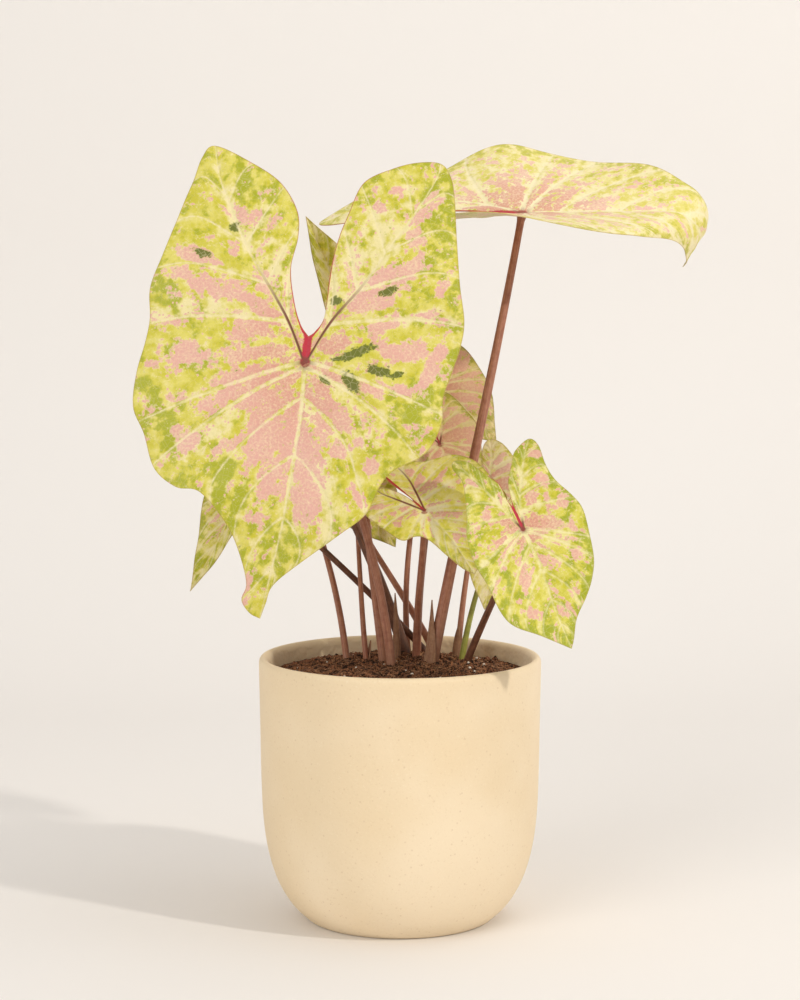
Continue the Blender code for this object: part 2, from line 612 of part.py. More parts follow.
def point_at_height(path, height):
    """Where a rising line passes a height."""
    for low, high in zip(path, path[1:]):
        if low.z <= height <= high.z:
            return low.lerp(high, (height - low.z) / (high.z - low.z))
    return path[-1].copy()


def add_sheath(name, sheath, leaf, blade, material):
    """A thin pointed sheath that clasps the foot of one stalk and springs away at its tip."""
    path, radii = stalk_shape(leaf, blade)
    rings, columns = 6, 6
    way = math.radians(sheath["facing"])
    outward = Vector((math.cos(way), math.sin(way), 0))
    points, faces = [], []
    for ring in range(rings + 1):
        share = ring / rings
        middle = point_at_height(path, path[2].z - SHEATH_DEPTH + sheath["height"] * MM * share)
        middle += outward * sheath["spring"] * MM * share ** 2
        half = math.radians(sheath["spread"]) * max(0.04, (1 - share) ** 0.7)
        inner = (radii[1] + SHEATH_GAP) / math.cos(math.radians(sheath["spread"]) / columns)
        for radius in (inner, inner + SHEATH_THICKNESS):
            for column in range(columns + 1):
                turn = way + half * (2 * column / columns - 1)
                points.append(middle + Vector((math.cos(turn), math.sin(turn), 0)) * radius)
    width = columns + 1

    def spot(ring, shell, column):
        return (ring * 2 + shell) * width + column

    for ring in range(rings):
        for column in range(columns):
            inner = [spot(ring, 0, column), spot(ring, 0, column + 1),
                     spot(ring + 1, 0, column + 1), spot(ring + 1, 0, column)]
            outer = [spot(ring, 1, column), spot(ring, 1, column + 1),
                     spot(ring + 1, 1, column + 1), spot(ring + 1, 1, column)]
            faces.append(tuple(reversed(inner)))
            faces.append(tuple(outer))
        faces.append((spot(ring, 0, 0), spot(ring, 1, 0), spot(ring + 1, 1, 0), spot(ring + 1, 0, 0)))
        faces.append((spot(ring, 1, columns), spot(ring, 0, columns),
                      spot(ring + 1, 0, columns), spot(ring + 1, 1, columns)))
    for column in range(columns):
        faces.append((spot(0, 0, column), spot(0, 0, column + 1), spot(0, 1, column + 1), spot(0, 1, column)))
        faces.append((spot(rings, 1, column), spot(rings, 1, column + 1),
                      spot(rings, 0, column + 1), spot(rings, 0, column)))
    return add_object(name, points, faces, material, crease=50)


def add_pot():
    """Cast pot with a rounded-in bottom, a flat foot and a rounded lip."""
    material = add_material("pot_ceramic", (0.86, 0.72, 0.47), 0.75)
    profile = in_metres(POT_OUTSIDE + POT_LIP + POT_INSIDE)
    points, faces = revolve(profile, POT_SEGMENTS)
    return add_object("pot", points, faces, material)


def tuber_section(extra=0.0):
    """The tuber's section, or with extra thickness that of the room it lies in."""
    return [(radius * MM + extra, height * MM + (extra if height > TUBER_WIDEST else -extra))
            for radius, height in TUBER_SECTION]


def hole_cutters(leaves, blades):
    """Solids of the holes round the stalks and the shoot, and of the tuber's room."""
    shapes = [revolve(tuber_section(HOLE_CLEARANCE), TUBER_SEGMENTS, TUBER_CENTRE)]
    path, radii = shoot_shape(HOLE_CLEARANCE)
    path[0].z -= HOLE_DEPTH
    shapes.append(sweep(path, radii, STALK_SIDES))
    sheathed = {sheath["stalk"] for sheath in SHEATHS.values()}
    for name, leaf in leaves.items():
        extra = HOLE_CLEARANCE
        if name in sheathed:
            extra += (SHEATH_GAP + SHEATH_THICKNESS) * 1.65
        path, radii = stalk_shape(leaf, blades[name], extra)
        buried = sum(point.z < soil_height(point.x, point.y) + 12 * MM for point in path)
        count = max(4, buried) + 1
        below = path[0] - (path[1] - path[0]).normalized() * HOLE_DEPTH
        shapes.append(sweep([below] + path[:count], [radii[0]] + radii[:count], STALK_SIDES))
    cutters = [add_object("cutter", points, faces, None) for points, faces in shapes]
    for cutter in cutters:
        cutter.hide_render = True
        cutter.display_type = "WIRE"
    return cutters


def add_soil(leaves, blades):
    """Potting soil up to below the lip, with a plain hole for every stalk and room for the tuber."""
    material = add_material("potting_soil", (0.09, 0.05, 0.03), 0.95)
    side = [(radius - SOIL_SIDE_GAP, height + SOIL_FLOOR_GAP) for radius, height in reversed(POT_INSIDE)
            if height * MM < SOIL_EDGE_HEIGHT - 4 * MM]
    section = in_metres(side + [(radius, 0) for radius in SOIL_TOP_RINGS])
    points, faces = revolve(section, SOIL_SEGMENTS)
    chance = random.Random(7)
    top = 1 + len(side) * SOIL_SEGMENTS
    for number, point in enumerate(points[top:]):
        point.z = soil_height(point.x, point.y)
        if number >= SOIL_SEGMENTS:
            point.z += chance.uniform(-SOIL_LUMP, SOIL_LUMP)
    soil = add_object("soil", points, faces, material, crease=80)
    cutters = hole_cutters(leaves, blades)
    for cutter in cutters:
        cut = soil.modifiers.new("hole", "BOOLEAN")
        cut.operation = "DIFFERENCE"
        cut.solver = "EXACT"
        cut.object = cutter
    finished = soil.evaluated_get(bpy.context.evaluated_depsgraph_get())
    soil.data = bpy.data.meshes.new_from_object(finished)
    soil.modifiers.clear()
    for cutter in cutters:
        bpy.data.objects.remove(cutter, do_unlink=True)
    return soil


def add_tuber():
    """Flattened brown tuber under the stalks."""
    material = add_material("tuber_skin", (0.20, 0.11, 0.06), 0.9)
    points, faces = revolve(tuber_section(), TUBER_SEGMENTS, TUBER_CENTRE)
    return add_object("tuber", points, faces, material)


def build():
    """The whole plant in its pot."""
    clear_scene()
    add_pot()
    blades = {}
    for name, leaf in LEAVES.items():
        stalk_name = name.replace("leaf", "stalk")
        blades[name] = add_blade(name, leaf, add_material(name + "_skin", leaf["colour"], 0.5))
        skin = add_material(stalk_name + "_skin", leaf["stalk"]["colour"], 0.5)
        add_stalk(stalk_name, leaf, blades[name], skin)
    papery = add_material("sheath_skin", (0.36, 0.20, 0.10), 0.6)
    for name, sheath in SHEATHS.items():
        add_sheath(name, sheath, LEAVES[sheath["stalk"]], blades[sheath["stalk"]], papery)
    add_shoot(papery)
    add_soil(LEAVES, blades)
    add_tuber()


build()
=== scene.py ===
"""The looks of a marbled caladium in its round-bottomed ceramic pot. Metres, +Z up.

The pot stands on its foot at the origin and the plant's front faces -Y.
"""

import math

import bpy
import numpy as np
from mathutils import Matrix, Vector, noise


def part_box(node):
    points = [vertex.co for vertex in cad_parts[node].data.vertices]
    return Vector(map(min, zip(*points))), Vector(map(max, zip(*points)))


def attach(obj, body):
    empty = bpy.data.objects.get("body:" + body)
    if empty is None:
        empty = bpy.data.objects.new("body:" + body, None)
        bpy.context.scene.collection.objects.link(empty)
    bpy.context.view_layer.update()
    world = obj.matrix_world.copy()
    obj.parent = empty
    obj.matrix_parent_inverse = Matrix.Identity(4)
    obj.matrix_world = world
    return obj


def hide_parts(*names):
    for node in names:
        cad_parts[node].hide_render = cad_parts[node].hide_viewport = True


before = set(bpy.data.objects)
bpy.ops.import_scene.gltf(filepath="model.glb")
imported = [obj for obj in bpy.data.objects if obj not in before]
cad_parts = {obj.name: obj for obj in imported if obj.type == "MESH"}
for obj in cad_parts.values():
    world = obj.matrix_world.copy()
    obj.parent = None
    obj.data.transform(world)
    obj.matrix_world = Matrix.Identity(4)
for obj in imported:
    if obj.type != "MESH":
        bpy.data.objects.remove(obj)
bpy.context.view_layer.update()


# The table and the wall behind it: one pale sweep that the plant stands on and is lit against.
# It isn't part of the object.
SWEEP_HALF_WIDTH = 2.2
SWEEP_FRONT = -1.6
SWEEP_BACK = 0.9
SWEEP_BEND = 0.35
SWEEP_TOP = 1.9
SWEEP_BEND_STEPS = 12
SWEEP_COLOUR = "eeeae6"


def paint(code):
    """A colour's web code as the linear values that shaders take, by the usual sRGB curve."""
    values = []
    for place in (0, 2, 4):
        value = int(code[place:place + 2], 16) / 255
        values.append(value / 12.92 if value <= 0.04045 else ((value + 0.055) / 1.055) ** 2.4)
    return (*values, 1.0)


def new_piece(name, points, faces, materials, crease=None):
    """A smooth shaded mesh object at the origin; a crease angle keeps sharper edges hard."""
    mesh = bpy.data.meshes.new(name)
    mesh.from_pydata([tuple(point) for point in points], [], [tuple(face) for face in faces])
    piece = bpy.data.objects.new(name, mesh)
    bpy.context.scene.collection.objects.link(piece)
    for material in materials:
        mesh.materials.append(material)
    mesh.shade_smooth()
    if crease is not None:
        mesh.set_sharp_from_angle(angle=math.radians(crease))
    return piece


class Wiring:
    """Lays and joins the nodes of one material or node group."""

    def __init__(self, tree):
        self.tree = tree

    def feed(self, socket, value):
        if isinstance(value, bpy.types.NodeSocket):
            self.tree.links.new(value, socket)
        else:
            socket.default_value = value

    def node(self, kind, inputs=(), **settings):
        made = self.tree.nodes.new(kind)
        for name, value in settings.items():
            setattr(made, name, value)
        for name, value in dict(inputs).items():
            self.feed(made.inputs[name], value)
        return made

    def maths(self, operation, *values, clamp=False):
        made = self.node("ShaderNodeMath", operation=operation, use_clamp=clamp)
        for socket, value in zip(made.inputs, values):
            self.feed(socket, value)
        return made.outputs[0]

    def blend(self, share, below, above, mode="MIX"):
        """The colour above laid over the colour below where share is 1."""
        made = self.node("ShaderNodeMix", data_type="RGBA", blend_type=mode)
        for place, value in ((0, share), (6, below), (7, above)):
            self.feed(made.inputs[place], value)
        return made.outputs[2]

    def rise(self, value, low, high, bottom=0.0, top=1.0):
        """A soft step from bottom to top as the value goes from low to high."""
        made = self.node("ShaderNodeMapRange", {"Value": value, "From Min": low, "From Max": high,
                                                "To Min": bottom, "To Max": top},
                         interpolation_type="SMOOTHSTEP")
        return made.outputs["Result"]

    def total(self, *terms):
        """Sum of values, each with its own weight and taken from its middle."""
        value = 0.0
        for term, weight, middle in terms:
            value = self.maths("MULTIPLY_ADD", self.maths("SUBTRACT", term, middle), weight, value)
        return value

    def vector(self, operation, *values):
        return self.node("ShaderNodeVectorMath", dict(enumerate(values)), operation=operation).outputs[0]

    def parts(self, vector):
        """X, Y and Z of a vector."""
        return self.node("ShaderNodeSeparateXYZ", {"Vector": vector}).outputs

    def clouds(self, place, scale, detail=2.0, roughness=0.5):
        """Cloudy noise between 0 and 1."""
        made = self.node("ShaderNodeTexNoise", {"Vector": place, "Scale": scale, "Detail": detail,
                                                "Roughness": roughness})
        return made.outputs["Fac"]

    def cells(self, place, scale, feature="F1", output="Distance"):
        """Irregular cells: the distance from each one's middle or edge, or its own colour."""
        made = self.node("ShaderNodeTexVoronoi", {"Vector": place, "Scale": scale}, feature=feature)
        return made.outputs[output]

    def channel(self, colour, place):
        """One channel of a colour."""
        return self.node("ShaderNodeSeparateColor", {"Color": colour}).outputs[place]

    def own_place(self):
        """Where a point of the piece is, in metres."""
        return self.node("ShaderNodeTexCoord").outputs["Object"]

    def relief(self, height, depth, strength=1.0):
        return self.node("ShaderNodeBump", {"Height": height, "Distance": depth,
                                            "Strength": strength}).outputs["Normal"]


def new_finish(name, roughness=0.5, **settings):
    """A Principled material; its even values are set on the shader's own sockets."""
    material = bpy.data.materials.new(name)
    material.use_nodes = True
    shader = material.node_tree.nodes["Principled BSDF"]
    shader.inputs["Roughness"].default_value = roughness
    for socket, value in settings.items():
        shader.inputs[socket.replace("_", " ")].default_value = value
    return material, shader, Wiring(material.node_tree)


def build_sweep():
    """One sheet from the table up into the wall, clear when seen from behind."""
    finish, shader, wiring = new_finish("pale_sweep", 0.8)
    shader.inputs["Base Color"].default_value = paint(SWEEP_COLOUR)
    turned_away = wiring.node("ShaderNodeNewGeometry").outputs["Backfacing"]
    wiring.feed(shader.inputs["Alpha"], wiring.maths("SUBTRACT", 1.0, turned_away))
    line = [(SWEEP_FRONT, 0.0)]
    for step in range(SWEEP_BEND_STEPS + 1):
        turn = math.radians(90 * step / SWEEP_BEND_STEPS)
        line.append((SWEEP_BACK - SWEEP_BEND * (1 - math.sin(turn)), SWEEP_BEND * (1 - math.cos(turn))))
    line.append((SWEEP_BACK, SWEEP_TOP))
    points = [(side * SWEEP_HALF_WIDTH, y, z) for y, z in line for side in (-1, 1)]
    faces = [(2 * step, 2 * step + 1, 2 * step + 3, 2 * step + 2) for step in range(len(line) - 1)]
    return new_piece("sweep", points, faces, [finish])


build_sweep()


# The light is warm and high: a small key lamp from the right and in front, a wide fill from the
# left, and pale light all round. The camera looks slightly down from the height of the upper leaves.
CAMERA_PLACE = (0.0, -1.243, 0.3318)
CAMERA_DOWN = 5.64
CAMERA_FOCAL_PIXELS = 2531
PHOTO_HEIGHT_PIXELS = 1000
SENSOR = 36.0
# Each lamp's place, what it faces, its side, its watts and its colour
LAMPS = {
    "key": ((1.47, -1.09, 1.27), (0.0, 0.0, 0.22), 0.10, 17, "fffaf2"),
    "fill": ((-1.1, -1.6, 1.0), (0.0, 0.0, 0.2), 1.2, 15, "fffdfa"),
    "wall_wash": ((0.5, 0.1, 1.8), (0.0, 0.7, 0.5), 1.2, 6, "fffdfa"),
}
ROOM_COLOUR = "fdfcfa"
ROOM_STRENGTH = 0.5


def add_lamp(name, place, aim, size, power, colour):
    """A square soft light that faces a point."""
    data = bpy.data.lights.new(name, "AREA")
    data.size = size
    data.energy = power
    data.color = paint(colour)[:3]
    lamp = bpy.data.objects.new(name, data)
    bpy.context.scene.collection.objects.link(lamp)
    lamp.location = place
    lamp.rotation_euler = (Vector(aim) - Vector(place)).to_track_quat("-Z", "Y").to_euler()


def add_camera():
    data = bpy.data.cameras.new("camera")
    data.sensor_width = SENSOR
    data.lens = CAMERA_FOCAL_PIXELS / PHOTO_HEIGHT_PIXELS * SENSOR
    camera = bpy.data.objects.new("camera", data)
    bpy.context.scene.collection.objects.link(camera)
    camera.location = CAMERA_PLACE
    camera.rotation_euler = (math.radians(90 - CAMERA_DOWN), 0, 0)
    bpy.context.scene.camera = camera


def add_surroundings():
    world = bpy.data.worlds.new("pale_room")
    world.use_nodes = True
    light = world.node_tree.nodes["Background"]
    light.inputs["Color"].default_value = paint(ROOM_COLOUR)
    light.inputs["Strength"].default_value = ROOM_STRENGTH
    bpy.context.scene.world = world
    bpy.context.scene.view_settings.view_transform = "Standard"


add_camera()
add_surroundings()
for lamp_name, lamp in LAMPS.items():
    add_lamp(lamp_name, *lamp)


# The pot: thick stoneware cast in one piece, with a rounded-in bottom, a flat foot and a rounded
# lip. Its matt sand-coloured glaze is finely pebbled outside and coarser inside.
MM = 0.001
POT_RIM_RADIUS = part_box("pot")[1].x
POT_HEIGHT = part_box("pot")[1].z
# Radius and height in millimetres, up the outside, over the lip and down the inside
RIM = POT_RIM_RADIUS / MM
TOP = POT_HEIGHT / MM
POT_OUTSIDE = [(44.8, 0), (47.5, 1.6), (54.8, 9), (61.2, 20), (65.6, 34), (68, 50), (69, 70),
               (69.5, 100), (RIM, TOP - 4)]
POT_LIP = [(RIM, TOP - 4), (RIM - 0.2, TOP - 1.5), (RIM - 1.4, TOP), (RIM - 2.9, TOP - 0.2),
           (RIM - 4.4, TOP - 2), (RIM - 5, TOP - 7.4)]
POT_INSIDE = [(RIM - 5, TOP - 7.4), (64.4, 98), (63.8, 70), (62.6, 50), (59.4, 34.5), (54, 22),
              (46.5, 12.5), (38, 8.4)]
POT_OUTSIDE_STEPS = 70
POT_LIP_STEPS = 16
POT_INSIDE_STEPS = 50
POT_SEGMENTS = 160
POT_CREASE = 38
SPAN_STEPS = 12


def smooth_line(points):
    """A smooth line through given points, in short steps from each to the next."""
    line = np.array(points, float)
    ends = np.vstack([2 * line[:1] - line[1:2], line, 2 * line[-1:] - line[-2:-1]])
    t = np.linspace(0, 1, SPAN_STEPS, endpoint=False)[:, None]
    pieces = []
    for a, b, c, d in zip(ends, ends[1:], ends[2:], ends[3:]):
        pieces.append(0.5 * (2 * b + (c - a) * t + (2 * a - 5 * b + 4 * c - d) * t ** 2
                             + (3 * b - a - 3 * c + d) * t ** 3))
    return np.vstack(pieces + [line[-1:]])


def even_steps(line, count):
    """The same line cut into equal steps."""
    length = np.concatenate([[0], np.cumsum(np.linalg.norm(np.diff(line, axis=0), axis=1))])
    wanted = np.linspace(0, length[-1], count + 1)
    return np.column_stack([np.interp(wanted, length, column) for column in line.T])


def turned(section, segments):
    """Points and faces of a body turned about the pot's axis; the section, radius and height in
    metres, runs up the outside, and both its ends are closed on the axis."""
    points = [(0.0, 0.0, section[0][1])]
    for radius, height in section:
        for step in range(segments):
            turn = 2 * math.pi * step / segments
            points.append((radius * math.cos(turn), radius * math.sin(turn), height))
    points.append((0.0, 0.0, section[-1][1]))
    faces = []
    last = len(section) - 1
    for step in range(segments):
        after = (step + 1) % segments
        faces.append((0, 1 + after, 1 + step))
        for ring in range(last):
            low = 1 + ring * segments
            high = low + segments
            faces.append((low + step, low + after, high + after, high + step))
        faces.append((1 + last * segments + step, 1 + last * segments + after, len(points) - 1))
    return points, faces


def glaze():
    """Matt glaze: two close sand tones, small pale and dark specks, and a pebbled skin."""
    finish, shader, wiring = new_finish("sand_glaze", 0.62, Specular_IOR_Level=0.35)
    place = wiring.own_place()
    tone = wiring.clouds(place, 9, 3.0, 0.55)
    colour = wiring.blend(wiring.rise(tone, 0.38, 0.64), paint("ead4b0"), paint("f1debf"))
    grain = wiring.clouds(place, 900, 2.0, 0.6)
    colour = wiring.blend(wiring.rise(grain, 0.60, 0.74, 0.0, 0.28), colour, paint("f8ead0"))
    colour = wiring.blend(wiring.rise(grain, 0.40, 0.26, 0.0, 0.22), colour, paint("c9a87c"))
    specks = wiring.cells(place, 240)
    colour = wiring.blend(wiring.rise(specks, 0.16, 0.06, 0.0, 0.22), colour, paint("b58e62"))
    x, y, z = wiring.parts(place)
    out = wiring.maths("SQRT", wiring.maths("ADD", wiring.maths("MULTIPLY", x, x),
                                            wiring.maths("MULTIPLY", y, y)))
    within = wiring.rise(out, POT_RIM_RADIUS - 4 * MM, POT_RIM_RADIUS - 4.8 * MM)
    inside = wiring.maths("MULTIPLY", within, wiring.rise(z, 70 * MM, 90 * MM))
    pebbles = wiring.cells(place, 420, feature="SMOOTH_F1")
    coarse = wiring.maths("MULTIPLY_ADD", inside, 1.6, 0.5)
    height = wiring.maths("ADD", wiring.maths("MULTIPLY", grain, 0.5),
                          wiring.maths("MULTIPLY", pebbles, coarse))
    wiring.feed(shader.inputs["Base Color"], colour)
    wiring.feed(shader.inputs["Roughness"], wiring.rise(tone, 0.3, 0.7, 0.56, 0.72))
    wiring.feed(shader.inputs["Normal"], wiring.relief(height, 0.35 * MM, 0.55))
    return finish


def build_pot():
    outside = even_steps(smooth_line(POT_OUTSIDE), POT_OUTSIDE_STEPS)
    lip = even_steps(smooth_line(POT_LIP), POT_LIP_STEPS)
    inside = even_steps(smooth_line(POT_INSIDE), POT_INSIDE_STEPS)
    section = np.vstack([outside, lip[1:], inside[1:]]) * MM
    return new_piece("pot_glazed", *turned(section, POT_SEGMENTS), [glaze()], crease=POT_CREASE)


pot = build_pot()
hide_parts("pot")
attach(pot, "root")


# The soil: peat-free mix of dark fibres, bark crumbs and white perlite, heaped a little in the
# middle. One lumpy body fills the pot, and loose crumbs, grains and fibres lie on top of it.
SOIL_EDGE_HEIGHT = 122.5 * MM
SOIL_RISE = 7 * MM
SOIL_RISE_RADIUS = 60 * MM
SOIL_RADIUS = 64.3 * MM
# Free room between the soil and the pot's inside, in millimetres as the pot's section
SOIL_SIDE_GAP = 0.5
SOIL_BOTTOM_GAP = 0.4
SOIL_EDGE_DEPTH = 4 * MM
SOIL_RINGS = 80
SOIL_SEGMENTS = 200
LUMP_SIZES = ((9 * MM, 1.5 * MM), (3.2 * MM, 0.9 * MM), (1.3 * MM, 0.35 * MM))
LUMP_LAYER = 3.0
LUMP_RISE = 12


def soil_height(x, y):
    """Height of the soil's even surface above the table."""
    share = min(1.0, math.hypot(x, y) / SOIL_RISE_RADIUS)
    return SOIL_EDGE_HEIGHT + SOIL_RISE * (1 - share * share)


def lumpy_height(x, y):
    """The same with its lumps, which die out against the pot's wall."""
    height = soil_height(x, y)
    free = min(1.0, LUMP_RISE * (1 - math.hypot(x, y) / SOIL_RADIUS))
    for size, depth in LUMP_SIZES:
        height += noise.noise(Vector((x / size, y / size, LUMP_LAYER))) * depth * free
    return height


def new_group(name, kind, inputs, outputs):
    """An empty node group with named inputs and outputs; gives its tree and what it's given."""
    tree = bpy.data.node_groups.new(name, kind)
    for way, sockets in (("INPUT", inputs), ("OUTPUT", outputs)):
        for socket, holds in sockets.items():
            tree.interface.new_socket(socket, in_out=way, socket_type="NodeSocket" + holds)
    return tree, tree.nodes.new("NodeGroupInput").outputs


def earth_look():
    """Group: mixed browns of peat and bark, with a crumbly height."""
    tree, given = new_group("earth_look", "ShaderNodeTree",
                            {"Place": "Vector", "Dark": "Color", "Light": "Color", "Grain": "Float"},
                            {"Color": "Color", "Height": "Float"})
    wiring = Wiring(tree)
    broad = wiring.clouds(given["Place"], 320, 3.0, 0.6)
    fine = wiring.clouds(given["Place"], given["Grain"], 3.0, 0.65)
    mixed = wiring.maths("MULTIPLY_ADD", fine, 0.6, wiring.maths("MULTIPLY", broad, 0.4))
    colour = wiring.blend(wiring.rise(mixed, 0.42, 0.60), given["Dark"], given["Light"])
    wiring.node("NodeGroupOutput", {"Color": colour, "Height": mixed})
    return tree


EARTH_LOOK = earth_look()


def earth(name, dark, light, grain):
    """A soil finish: the browns between two colours, with grains of a size."""
    finish, shader, wiring = new_finish(name, 0.95, Specular_IOR_Level=0.2)
    look = wiring.node("ShaderNodeGroup", {"Place": wiring.own_place(), "Dark": paint(dark),
                                           "Light": paint(light), "Grain": grain}, node_tree=EARTH_LOOK)
    wiring.feed(shader.inputs["Base Color"], look.outputs["Color"])
    wiring.feed(shader.inputs["Normal"], wiring.relief(look.outputs["Height"], 0.5 * MM, 0.9))
    return finish


def build_soil():
    """The body of soil: a lumpy top, and sides that follow the pot's inside."""
    section = [((radius - SOIL_SIDE_GAP) * MM, (height + SOIL_BOTTOM_GAP) * MM)
               for radius, height in reversed(POT_INSIDE) if height * MM < SOIL_EDGE_HEIGHT - SOIL_EDGE_DEPTH]
    top = 1 + len(section) * SOIL_SEGMENTS
    section += [(SOIL_RADIUS * (1 - ring / SOIL_RINGS), SOIL_EDGE_HEIGHT) for ring in range(SOIL_RINGS)]
    points, faces = turned(section, SOIL_SEGMENTS)
    points[top:] = [(x, y, lumpy_height(x, y)) for x, y, z in points[top:]]
    return new_piece("soil_body", points, faces, [earth("peat", "1c110a", "94664a", 1500)])


def strewing(name, *sizes):
    """A geometry-node tree with named sizes that lays points on the upward faces inside a clear
    rim; gives its tree, wiring, inputs and points."""
    inputs = {"Geometry": "Geometry", "Per square metre": "Float", **dict.fromkeys(sizes, "Float"),
              "Clear rim": "Float", "Seed": "Int", "Material": "Material"}
    tree, given = new_group(name, "GeometryNodeTree", inputs, {"Geometry": "Geometry"})
    wiring = Wiring(tree)
    facing = wiring.parts(wiring.node("GeometryNodeInputNormal").outputs[0])
    flat = wiring.vector("MULTIPLY", wiring.node("GeometryNodeInputPosition").outputs[0], (1, 1, 0))
    out = wiring.node("ShaderNodeVectorMath", {0: flat}, operation="LENGTH").outputs["Value"]
    upward = wiring.maths("MULTIPLY", wiring.maths("GREATER_THAN", facing["Z"], 0.3),
                          wiring.maths("LESS_THAN", out, given["Clear rim"]))
    spots = wiring.node("GeometryNodeDistributePointsOnFaces",
                        {"Mesh": given["Geometry"], "Selection": upward, "Density": given["Per square metre"],
                         "Seed": given["Seed"]})
    return tree, wiring, given, spots.outputs["Points"]


def strewn_shapes(wiring, points, shape, size, lowest_turn, highest_turn, seed):
    """The shape laid on every point, each one turned its own way."""
    turn = wiring.node("FunctionNodeRandomValue", {0: lowest_turn, 1: highest_turn, "Seed": seed},
                       data_type="FLOAT_VECTOR").outputs[0]
    strewn = wiring.node("GeometryNodeInstanceOnPoints",
                         {"Points": points, "Instance": shape, "Rotation": turn, "Scale": size})
    return wiring.node("GeometryNodeRealizeInstances", {"Geometry": strewn.outputs[0]}).outputs[0]


def any_size(wiring, smallest, largest, seed):
    return wiring.node("FunctionNodeRandomValue", {2: smallest, 3: largest, "Seed": seed},
                       data_type="FLOAT").outputs[1]


def end_strewing(wiring, given, shapes):
    done = wiring.node("GeometryNodeSetMaterial", {"Geometry": shapes, "Material": given["Material"]})
    wiring.node("NodeGroupOutput", {0: done.outputs[0]})


def grain_tree():
    """Geometry nodes: small rounded grains, each one misshapen."""
    tree, wiring, given, points = strewing("strewn_grains", "Smallest", "Largest", "Flatness", "Misshape")
    grain = wiring.node("GeometryNodeMeshUVSphere", {"Segments": 6, "Rings": 4, "Radius": 1.0})
    size = any_size(wiring, given["Smallest"], given["Largest"], 11)
    sides = {"X": size, "Y": wiring.maths("MULTIPLY", size, 0.8),
             "Z": wiring.maths("MULTIPLY", size, given["Flatness"])}
    shape = wiring.node("ShaderNodeCombineXYZ", sides).outputs[0]
    grains = strewn_shapes(wiring, points, grain.outputs["Mesh"], shape, (0, 0, 0), (6.28, 6.28, 6.28), 12)
    push = wiring.node("ShaderNodeTexNoise", {"Scale": 700.0, "Detail": 1.0}).outputs["Color"]
    push = wiring.vector("SUBTRACT", push, (0.5, 0.5, 0.5))
    push = wiring.node("ShaderNodeVectorMath", {0: push, "Scale": given["Misshape"]}, operation="SCALE")
    bent = wiring.node("GeometryNodeSetPosition", {"Geometry": grains, "Offset": push.outputs[0]})
    end_strewing(wiring, given, bent.outputs[0])
    return tree


def fibre_tree():
    """Geometry nodes: thin bent fibres lying every way."""
    tree, wiring, given, points = strewing("strewn_fibres", "Shortest", "Longest", "Thickness")
    bow = wiring.node("GeometryNodeCurveQuadraticBezier", {"Resolution": 5, "Start": (-0.5, 0, 0.02),
                                                           "Middle": (0, 0.22, 0.12), "End": (0.5, 0, 0.02)})
    length = any_size(wiring, given["Shortest"], given["Longest"], 21)
    lines = strewn_shapes(wiring, points, bow.outputs[0], length, (-0.25, -0.25, 0), (0.25, 0.25, 6.28), 22)
    ring = wiring.node("GeometryNodeCurvePrimitiveCircle", {"Resolution": 3, "Radius": given["Thickness"]})
    tubes = wiring.node("GeometryNodeCurveToMesh", {"Curve": lines, "Profile Curve": ring.outputs[0],
                                                    "Fill Caps": True})
    end_strewing(wiring, given, tubes.outputs[0])
    return tree


def strewn_piece(name, ground, tree, material, **sizes):
    """Grows a tree's grains on the ground and keeps them as a plain mesh of their own."""
    carrier = bpy.data.objects.new(name + "_carrier", ground.data)
    bpy.context.scene.collection.objects.link(carrier)
    grown = carrier.modifiers.new("strewn", "NODES")
    grown.node_group = tree
    wanted = {"Material": material}
    wanted.update({words.replace("_", " "): value for words, value in sizes.items()})
    for socket in tree.interface.items_tree:
        if socket.in_out == "INPUT" and socket.name in wanted:
            grown[socket.identifier] = wanted[socket.name]
    result = carrier.evaluated_get(bpy.context.evaluated_depsgraph_get())
    mesh = bpy.data.meshes.new_from_object(result)
    carrier.modifiers.clear()
    bpy.data.objects.remove(carrier, do_unlink=True)
    mesh.name = name
    piece = bpy.data.objects.new(name, mesh)
    bpy.context.scene.collection.objects.link(piece)
    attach(piece, "root")
    return piece


def perlite():
    """Puffed white volcanic glass, a little dusty."""
    finish, shader, wiring = new_finish("perlite", 0.9)
    dust = wiring.clouds(wiring.own_place(), 900, 2.0)
    colour = wiring.blend(wiring.rise(dust, 0.40, 0.70), paint("f2ebdf"), paint("b59a80"))
    wiring.feed(shader.inputs["Base Color"], colour)
    wiring.feed(shader.inputs["Normal"], wiring.relief(dust, 0.3 * MM, 0.8))
    return finish


soil = build_soil()
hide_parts("soil")
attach(soil, "root")
GRAINS = grain_tree()
FIBRES = fibre_tree()
strewn_piece("soil_crumbs", soil, GRAINS, earth("crumbs", "26150b", "a57250", 1300),
             Per_square_metre=210000.0, Smallest=0.35 * MM, Largest=1.15 * MM, Flatness=0.7,
             Misshape=1.2 * MM, Clear_rim=62.5 * MM, Seed=3)
strewn_piece("soil_bark", soil, GRAINS, earth("bark", "26160d", "8f6044", 700),
             Per_square_metre=12000.0, Smallest=1.3 * MM, Largest=2.8 * MM, Flatness=0.5,
             Misshape=2.2 * MM, Clear_rim=59 * MM, Seed=5)
strewn_piece("soil_perlite", soil, GRAINS, perlite(),
             Per_square_metre=5500.0, Smallest=0.5 * MM, Largest=1.1 * MM, Flatness=0.8,
             Misshape=0.9 * MM, Clear_rim=60 * MM, Seed=8)
strewn_piece("soil_fibres", soil, FIBRES, earth("fibre", "6b4630", "d2a27a", 900),
             Per_square_metre=70000.0, Shortest=2 * MM, Longest=8 * MM, Thickness=0.13 * MM,
             Clear_rim=58 * MM, Seed=4)


